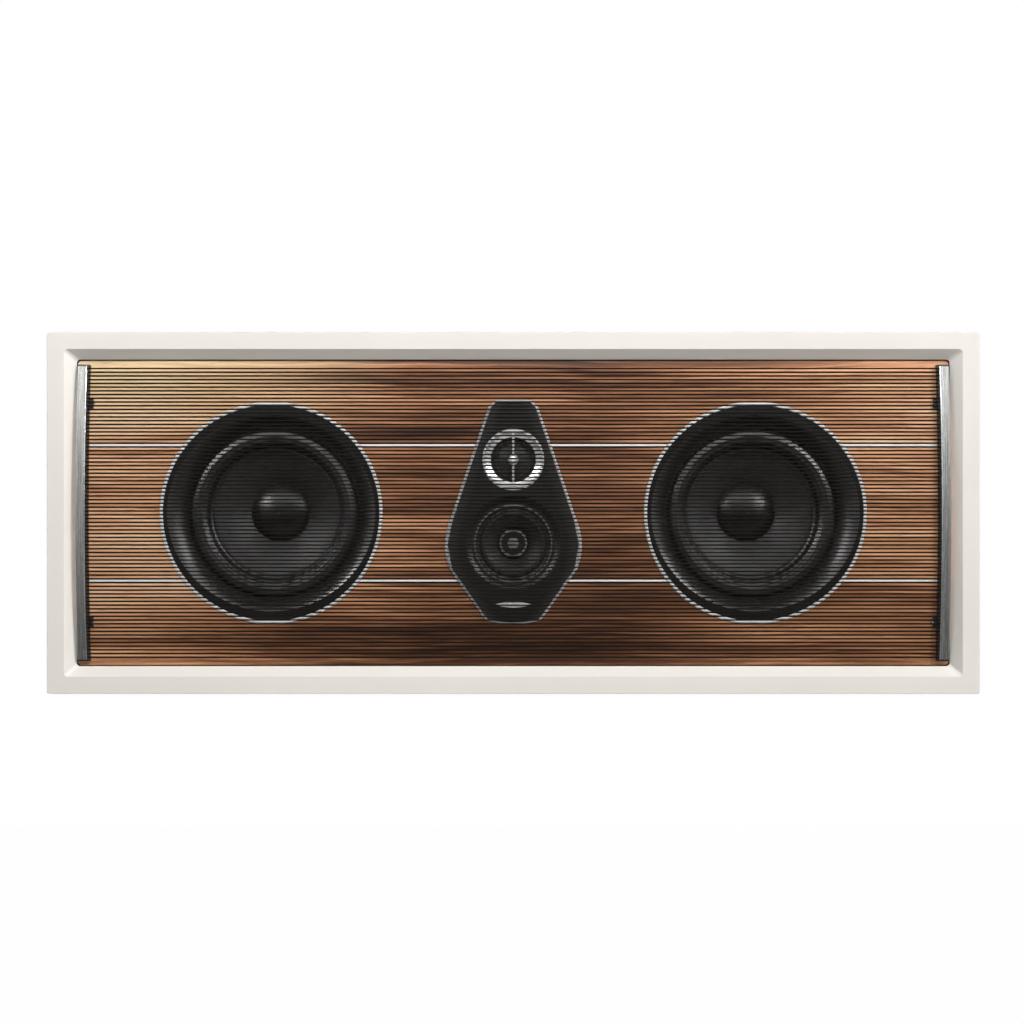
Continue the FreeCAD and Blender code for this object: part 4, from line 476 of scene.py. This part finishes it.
def capacitor_sleeve():
    """Shrink sleeve, with bare film at the ends of the longest capacitor."""
    look = Look("capacitor_sleeve", (0.03, 0.05, 0.12), 0.34)
    along = look.math("ABSOLUTE", look.math("SUBTRACT", look.parts()[0], CAPACITOR_X))
    cloud = look.noise(look.coords, 90.0, 4.0)
    film = look.ramp(cloud, (0.3, (0.026, 0.042, 0.10)), (0.7, (0.045, 0.07, 0.15)))
    bare = look.span(along, SLEEVE_HALF_LENGTH - 0.0002, SLEEVE_HALF_LENGTH + 0.0002)
    look.put("Base Color", look.mix(bare, film, (0.42, 0.34, 0.2)))
    look.put("Roughness", look.span(cloud, 0.3, 0.7, 0.28, 0.42))
    look.bump(look.noise(look.stretched(60.0, 400.0, 400.0), 1.0), 0.15, 0.0001)
    return look.material


def cement():
    """Gritty pale cement of the resistors' cases."""
    look = Look("cement", (0.62, 0.60, 0.55), 0.85)
    grit = look.noise(look.coords, 700.0, 5.0, 0.7)
    look.put("Base Color", look.ramp(grit, (0.3, (0.50, 0.48, 0.43)), (0.7, (0.70, 0.68, 0.63))))
    look.bump(grit, 0.5, 0.00015)
    return look.material


def dress(material, *names):
    """Gives nodes of the frame a material."""
    for name in names:
        for spot in nodes[name].material_slots:
            spot.material = material


def sides(name):
    """Names of the left and the right node of a pair."""
    return [name + "_left", name + "_right"]


# Seen from the room
dress(trim_paint(), "trim_frame")
dress(walnut(), "wood_panel")
dress(inlay_metal(), "inlay_lines")
dress(elastic_string(), "grille_strings")
dress(moulded("comb_plastic", (0.018, 0.017, 0.016), 0.48), *sides("string_comb"))
dress(brushed_bar(), *sides("end_bar"))
dress(plated("bright_metal", (0.86, 0.85, 0.83), 0.22), "grille_pins")
for side, x in WOOFERS:
    dress(ring_finish("ring_finish_" + side, x), "woofer_ring_" + side)
    dress(cone_paper("cone_paper_" + side, x, 0.0), "woofer_cone_" + side)
dress(gloss_cap(), *sides("woofer_dust_cap"))
dress(plate_finish(), "centre_plate")
dress(turned_metal("badge_metal", (0.92, 0.92, 0.91), 0.3, 0.0, BADGE_AXIS_Z), "badge")
dress(cone_paper("cone_paper_mid", 0.0, MID_Z, gloss=0.3), "midrange_cone")
dress(mid_cap(), "midrange_cap")
tweeter_metal = turned_metal("tweeter_metal", (0.93, 0.93, 0.92), 0.2, 0.0, TWEETER_Z)
dress(tweeter_metal, "tweeter_ring", "tweeter_phase_bar")
dress(woven("dome_silk", (0.020, 0.020, 0.021), 0.0004, 0.5), "tweeter_dome")

# Behind the wall
CORNERS = ("top_left", "top_right", "bottom_left", "bottom_right")
black_plastic = moulded("black_plastic", (0.022, 0.022, 0.023), 0.5)
zinc = plated("zinc", (0.62, 0.62, 0.60), 0.34)
dress(black_plastic, "mounting_chassis", "midrange_cup", "terminal_block", "tweeter_body", "midrange_chassis")
dress(moulded("powder_coat", (0.030, 0.030, 0.031), 0.42, 2200.0, 0.00008), *sides("woofer_basket"))
dress(moulded("ferrite", (0.055, 0.053, 0.050), 0.62, 1600.0, 0.00012), "woofer_magnets")
dress(zinc, "woofer_top_plates", "woofer_yokes", "midrange_motor", "tweeter_strap", "woofer_screws",
      "rear_screws", "panel_screws", *["clamp_screw_" + corner for corner in CORNERS])
dress(moulded("coil_former", (0.36, 0.19, 0.05), 0.4), *sides("woofer_coil"), "midrange_coil")
dress(circuit_board(), "crossover_board")
dress(copper_winding(), "crossover_inductors")
dress(capacitor_sleeve(), "crossover_capacitors")
dress(cement(), "crossover_resistors")
dress(moulded("red_button", (0.45, 0.022, 0.018), 0.4), "terminal_button_left")
dress(moulded("black_button", (0.02, 0.02, 0.021), 0.4), "terminal_button_right")
dress(moulded("grey_nylon", (0.26, 0.26, 0.255), 0.5), *["clamp_leg_" + corner for corner in CORNERS])


def circle_through(a, b, c):
    """Centre and radius of the circle through three points."""
    grid = [[2.0 * (b[i] - a[i]) for i in (0, 1)], [2.0 * (c[i] - a[i]) for i in (0, 1)]]
    sums = [sum(p[i] ** 2 - a[i] ** 2 for i in (0, 1)) for p in (b, c)]
    whole = grid[0][0] * grid[1][1] - grid[0][1] * grid[1][0]
    centre = ((sums[0] * grid[1][1] - grid[0][1] * sums[1]) / whole,
              (grid[0][0] * sums[1] - sums[0] * grid[1][0]) / whole)
    return centre, math.hypot(a[0] - centre[0], a[1] - centre[1])


def roll_profile():
    """Closed (radius, y) outline of a woofer's edge: lip, ribbed half roll, glued rim and smooth back."""
    front_steps, back_steps = 60, 13
    begin, end = (ROLL_OUTER, ROLL_SEAT_Y - ROLL_SKIN), (ROLL_INNER, ROLL_INNER_Y)
    crest = ((ROLL_OUTER + ROLL_INNER) / 2.0, ROLL_CREST_Y)
    (r, y), reach = circle_through(begin, crest, end)
    first = math.atan2(begin[1] - y, begin[0] - r)
    last = math.atan2(end[1] - y, end[0] - r) - 2.0 * math.pi
    rim = ROLL_OUTER + ROLL_LIP
    outline = [(rim, ROLL_SEAT_Y), (rim, ROLL_SEAT_Y - ROLL_SKIN)]
    for i in range(front_steps + 1):
        part = i / front_steps
        angle = first + (last - first) * part
        size = reach + RIB_HEIGHT * math.sin(math.pi * part) * math.cos(2.0 * math.pi * RIB_COUNT * part)
        outline.append((r + size * math.cos(angle), y + size * math.sin(angle)))
    glued = ROLL_INNER - ROLL_GLUE
    outline += [(glued, ROLL_INNER_Y), (glued, ROLL_INNER_Y + ROLL_SKIN)]
    size = reach - ROLL_SKIN
    for i in range(back_steps):
        # The back starts and ends a little inside the front, where the lip and the rim meet it
        angle = last + (first - last) * (i + 0.6) / (back_steps + 0.2)
        outline.append((r + size * math.cos(angle), y + size * math.sin(angle)))
    return outline


def lathe(name, outline, x, z):
    """Mesh of a closed outline turned about the axis along Y through (x, z)."""
    count = len(outline)
    spots = []
    for i in range(LATHE_TURNS):
        angle = 2.0 * math.pi * i / LATHE_TURNS
        spots += [(x + r * math.cos(angle), y, z + r * math.sin(angle)) for r, y in outline]
    faces = []
    for i in range(LATHE_TURNS):
        near, far = i * count, (i + 1) % LATHE_TURNS * count
        faces += [(near + j, near + (j + 1) % count, far + (j + 1) % count, far + j) for j in range(count)]
    mesh = bpy.data.meshes.new(name)
    mesh.from_pydata(spots, [], faces)
    mesh.polygons.foreach_set("use_smooth", [True] * len(faces))
    mesh.set_sharp_from_angle(angle=SHARP_ANGLE)
    return mesh


def flexible(node, moving, x, z, edge, material, mesh=None):
    """Soft piece that follows the moving body inside the radii of edge, and the frame outside them."""
    inner, outer = edge
    mesh = mesh or nodes[node].data.copy()
    mesh.name = node + "_skin"
    piece = bpy.data.objects.new(node + "_skin", mesh)
    bpy.context.scene.collection.objects.link(piece)
    mesh.materials.clear()
    mesh.materials.append(material)
    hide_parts(node)
    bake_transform(piece, "frame", moving, start=(x, 0.0, z), end=(x, 0.01, z))
    weights = []
    for vertex in mesh.vertices:
        away = math.hypot(vertex.co.x - x, vertex.co.z - z)
        share = min(1.0, max(0.0, (outer - away) / (outer - inner)))
        weights.append(share * share * (3.0 - 2.0 * share))
    mesh.attributes["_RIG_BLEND"].data.foreach_set("value", weights)


surround_rubber = rubber("surround_rubber")
spider_cloth = woven("spider_cloth", (0.42, 0.30, 0.14), 0.0009)
woofer_roll = roll_profile()
for side, x in WOOFERS:
    moving = "woofer_" + side
    roll = lathe("roll_" + side, woofer_roll, x, 0.0)
    flexible("woofer_surround_" + side, moving, x, 0.0, WOOFER_EDGE, surround_rubber, roll)
    flexible("woofer_spider_" + side, moving, x, 0.0, SPIDER_EDGE, spider_cloth)
mid_rubber = rubber("mid_rubber", ring=MID_RING)
dome_edge = woven("dome_edge", (0.018, 0.018, 0.019), 0.0004)
flexible("midrange_surround", "midrange", 0.0, MID_Z, MID_EDGE, mid_rubber)
flexible("tweeter_surround", "tweeter", 0.0, TWEETER_Z, TWEETER_EDGE, dome_edge)


# Stage: pale floor, soft lamps, white background

def make_floor():
    """Pale floor that the camera sees as almost white."""
    mesh = bpy.data.meshes.new("floor")
    mesh.from_pydata(FLOOR_CORNERS, [], [(0, 1, 2, 3)])
    floor = bpy.data.objects.new("floor", mesh)
    floor.location = (0.0, 0.0, FLOOR_Z)
    bpy.context.scene.collection.objects.link(floor)
    look = Look("floor_paint", (0.86, 0.86, 0.855), 0.7)
    cloud = look.noise(look.coords, 2.0, 3.0)
    look.put("Base Color", look.ramp(cloud, (0.3, (0.85, 0.85, 0.845)), (0.7, (0.875, 0.875, 0.87))))
    tree = look.tree
    rays = tree.nodes.new("ShaderNodeLightPath")
    seen = look.math("MAXIMUM", rays.outputs["Is Camera Ray"], rays.outputs["Is Transmission Ray"])
    glow = tree.nodes.new("ShaderNodeEmission")
    glow.inputs["Color"].default_value = WHITE
    glow.inputs["Strength"].default_value = 1.0
    mixed = tree.nodes.new("ShaderNodeMixShader")
    tree.links.new(look.math("MULTIPLY", seen, FLOOR_WHITE), mixed.inputs[0])
    tree.links.new(look.bsdf.outputs[0], mixed.inputs[1])
    tree.links.new(glow.outputs[0], mixed.inputs[2])
    tree.links.new(mixed.outputs[0], tree.nodes["Material Output"].inputs["Surface"])
    floor.data.materials.append(look.material)


def make_world():
    """White to the camera, a studio bright above and dark below to gloss, and an even fill to the rest."""
    world = bpy.data.worlds.new("studio")
    bpy.context.scene.world = world
    world.use_nodes = True
    tree = world.node_tree
    new = tree.nodes.new
    rays = new("ShaderNodeLightPath").outputs
    way = new("ShaderNodeSeparateXYZ")
    tree.links.new(new("ShaderNodeTexCoord").outputs["Generated"], way.inputs[0])
    height = new("ShaderNodeMapRange")
    tree.links.new(way.outputs[2], height.inputs[0])
    for spot, value in zip(height.inputs[1:5], (-1.0, 1.0, 0.0, 1.0)):
        spot.default_value = value
    graded = new("ShaderNodeValToRGB")
    tree.links.new(height.outputs[0], graded.inputs[0])
    while len(graded.color_ramp.elements) < len(STUDIO):
        graded.color_ramp.elements.new(0.5)
    for element, (up, level) in zip(graded.color_ramp.elements, STUDIO):
        element.position = (up + 1.0) / 2.0
        element.color = (level, level, level, 1.0)
    glossy = new("ShaderNodeMix")
    glossy.data_type = "RGBA"
    tree.links.new(rays["Is Glossy Ray"], glossy.inputs[0])
    glossy.inputs[6].default_value = (AMBIENT, AMBIENT, AMBIENT, 1.0)
    tree.links.new(graded.outputs[0], glossy.inputs[7])
    plain = new("ShaderNodeMath")
    plain.operation = "MAXIMUM"
    tree.links.new(rays["Is Camera Ray"], plain.inputs[0])
    tree.links.new(rays["Is Transmission Ray"], plain.inputs[1])
    shown = new("ShaderNodeMix")
    shown.data_type = "RGBA"
    tree.links.new(plain.outputs[0], shown.inputs[0])
    tree.links.new(glossy.outputs[2], shown.inputs[6])
    shown.inputs[7].default_value = WHITE
    tree.links.new(shown.outputs[2], tree.nodes["Background"].inputs["Color"])
    tree.nodes["Background"].inputs["Strength"].default_value = 1.0


def make_lamp(name, place, size, power, lights_matt=True, lights_gloss=True):
    """Soft lamp that points at the middle of the speaker."""
    data = bpy.data.lights.new(name, "AREA")
    data.shape = "RECTANGLE"
    data.size, data.size_y = size
    data.energy = power
    lamp = bpy.data.objects.new(name, data)
    bpy.context.scene.collection.objects.link(lamp)
    lamp.location = place
    lamp.rotation_euler = lamp.location.to_track_quat("Z", "Y").to_euler()
    lamp.visible_diffuse = lights_matt
    lamp.visible_glossy = lights_gloss


make_floor()
make_world()
# The key's height over its distance in front puts each string's shadow behind the next string
make_lamp("key_right", (5.2, -5.04, 4.72), (1.3, 1.3), 480.0, lights_gloss=False)
make_lamp("gloss_left", (-1.45, -1.0, 0.85), (0.5, 0.5), 26.0, lights_matt=False)
make_lamp("gloss_right", (1.45, -1.0, 0.85), (0.5, 0.5), 26.0, lights_matt=False)
make_lamp("gloss_top", (0.0, -1.15, 1.05), (2.4, 0.6), 19.0, lights_matt=False)
make_lamp("overhead", (0.0, -0.80, 0.75), (1.2, 0.35), 8.0, lights_gloss=False)
make_lamp("front_fill", (0.0, -4.0, 0.3), (3.0, 2.0), 16.0, lights_gloss=False)

camera_data = bpy.data.cameras.new("camera")
camera_data.sensor_width = 36.0
camera_data.lens = 36.7
camera_data.clip_start = 0.01
camera = bpy.data.objects.new("camera", camera_data)
camera.location = (-0.00102, -0.8605, 0.00073)
camera.rotation_euler = (math.pi / 2.0, 0.0, 0.0)
bpy.context.scene.collection.objects.link(camera)
bpy.context.scene.camera = camera
bpy.context.scene.view_settings.view_transform = "Standard"
